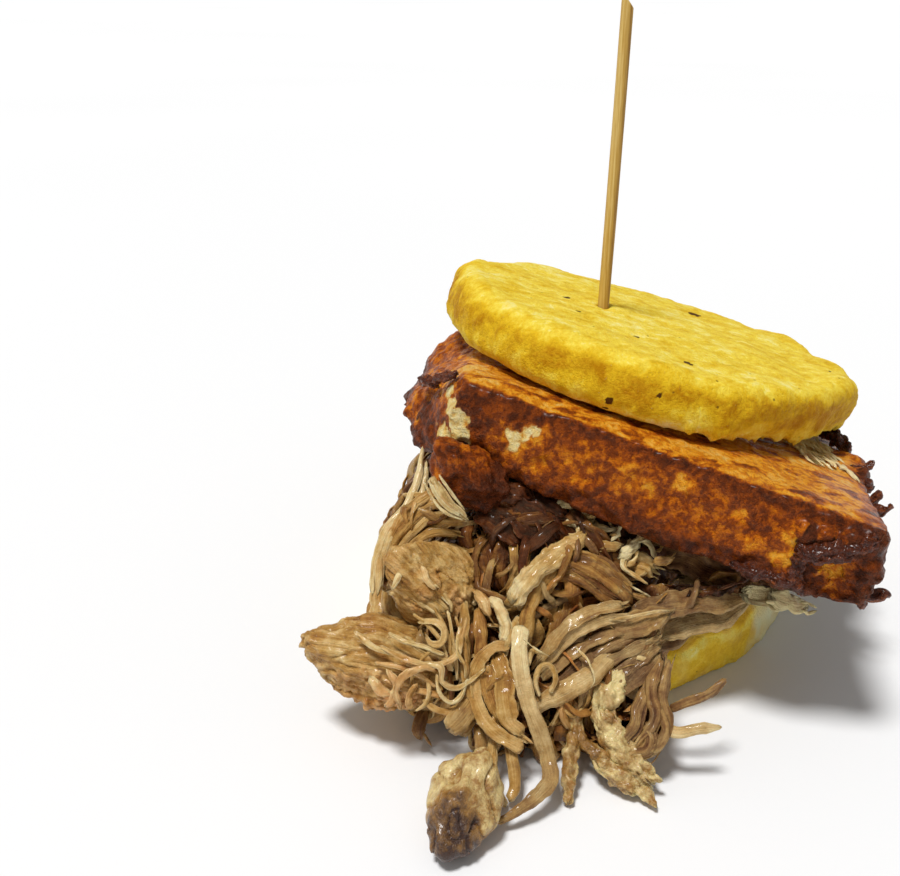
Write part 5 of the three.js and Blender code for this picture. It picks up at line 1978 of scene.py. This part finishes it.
@dataclass
class Studio:
    """The floor, the lights and the camera."""

    eye: Place = (-31.0, -216.0, 132.0)
    look_down: float = 23.0
    lens: float = 40.0
    key: float = 2.8
    softness: float = 13.0
    sun_from: Place = (-0.22, -0.2, 0.95)
    air: float = 0.3
    floor_sides: int = 96
    flat_edge: tuple[float, float] = (3.0, 0.0)
    far_edge: tuple[float, float] = (60.0, 2.6)

    def floor(self) -> None:
        """Lays the floor, in metres: flat, then rising far away so that the camera sees no sky."""
        n = self.floor_sides
        turns = np.linspace(0, 2 * math.pi, n, endpoint=False)
        inner, outer = (
            [(r * math.cos(a), r * math.sin(a), z) for a in turns]
            for r, z in (self.flat_edge, self.far_edge)
        )
        ring = [(i, i + n, (i + 1) % n + n, (i + 1) % n) for i in range(n)]
        mesh = bpy.data.meshes.new("studio_floor")
        mesh.from_pydata(inner + outer, [], [tuple(range(n)), *ring])
        mesh.materials.append(StudioFinish().make())
        shown("studio_floor", mesh)

    def light(self) -> None:
        """Lights the scene."""
        sun = bpy.data.lights.new("key", "SUN")
        sun.angle = math.radians(self.softness)
        sun.energy = self.key
        obj = shown("key", sun)
        obj.rotation_euler = Vector(self.sun_from).to_track_quat("Z", "Y").to_euler()
        world = bpy.data.worlds.new("studio_air")
        bpy.context.scene.world = world
        world.use_nodes = True
        sky = world.node_tree.nodes["Background"]
        sky.inputs["Color"].default_value = (1, 1, 1, 1)
        sky.inputs["Strength"].default_value = self.air

    def camera(self) -> None:
        """Sets up the camera."""
        data = bpy.data.cameras.new("camera")
        data.lens = self.lens
        data.sensor_width = 36.0
        data.clip_start = 0.01
        data.clip_end = 200.0
        obj = shown("camera", data)
        obj.location = [v * MM for v in self.eye]
        obj.rotation_euler = (math.radians(90 - self.look_down), 0, 0)
        bpy.context.scene.camera = obj
        bpy.context.scene.view_settings.view_transform = "Standard"


def main() -> None:
    """Builds the whole scene and reports each piece."""
    logging.basicConfig(level=logging.INFO, format="%(message)s")
    studio = Studio()
    studio.camera()
    studio.floor()
    studio.light()

    meat = MeatFinish("pulled_pork").make()
    crust = CrustFinish("fried_cheese").make()
    fat = FatFinish("cooked_fat").make()
    shy = (
        Pull((-48, -14, 10), (2.4, 0.4, 0), 24), Pull((-44, -28, 12), (1.4, 1.0, 0), 16),
        Pull((40, -30, 8), (-2.0, 1.8, 0), 18), Pull((26, -42, 3), (-0.8, 2.4, 0), 18),
    )
    # The lower cake's colours are paler than the upper cake's: partly its soaked look, partly painted light
    # against the shade under the filling.
    soaked_and_painted_light_corn = CornFinish("corn_lower", "FBF0AA", "F6DE62", "EEC638", "D8A41C")
    lower = CornCake("arepa_lower", Pose(0, 0, 0, 0, 0), 16, seed=3, pulls=shy, damp=0.9)
    lower.make(soaked_and_painted_light_corn.make())
    specks = (
        Spot(-4, 10, 71.5, 1.2), Spot(-3, -3.5, 71.6, 0.8), Spot(33, 37, 60, 2.0), Spot(9, -11.5, 69, 0.9),
        Spot(17, -25, 67.3, 1.2), Spot(0, -34, 62.6, 1.0), Spot(-0.6, -33, 60.4, 0.7),
        Spot(9.5, -36, 64.4, 0.6), Spot(54.6, -10.5, 57, 1.1), Spot(56, 1, 56, 0.8),
    )
    pulls = (
        Pull((44, -34, 47), (-1.4, 1.8, 2.4), 18), Pull((54, -24, 45), (-1.0, 1.6, 3.4), 15),
        Pull((57, -9, 49), (-1.6, 0.6, 3.0), 16), Pull((36, -34, 51), (0, 0.6, 1.6), 16),
        Pull((60, 6, 48), (-0.6, 0.4, 1.2), 14), Pull((60, -8, 52), (1.9, -0.5, 0), 13),
        Pull((63, 14, 55), (1.2, -0.6, 0.8), 10), Pull((58, 34, 54), (0.8, 0.8, 1.2), 12),
        Pull((-28, 30, 72), (-0.8, 0.4, 1.0), 15), Pull((-40, 22, 72), (-1.4, 0.4, 1.2), 7),
        Pull((-42, 14, 71), (-2.4, 0.6, 0.9), 10), Pull((-6, 50, 72), (0, 0.4, 1.2), 18),
    )
    tilted = Pose(15.2, 12, 53.1, 14.8, 3.6)
    upper = CornCake("arepa_upper", tilted, 12.6, seed=4, specks=specks, pulls=pulls, hem=1.7)
    upper.make(CornFinish("corn_upper").make())
    slab = CheeseSlab()
    slab.make(crust)
    slab.crumbs(CharFinish("caught_crust").make())
    CheeseTuft().make(meat)
    CheeseFold().make(crust)
    Skewer().make(BambooFinish("bamboo").make())
    heap = PorkHeap()
    heap.core(meat)
    for kind in StrandKind:
        heap.loose(meat, kind)
    FrontStrips().make(meat)
    browned = MeatFinish("browned_pork").make()
    for chunk in pork_chunks():
        chunk.make(browned)
    fatty = FatPieces()
    fatty.knob(fat)
    fatty.crumble(fat)


if __name__ == "__main__":
    main()
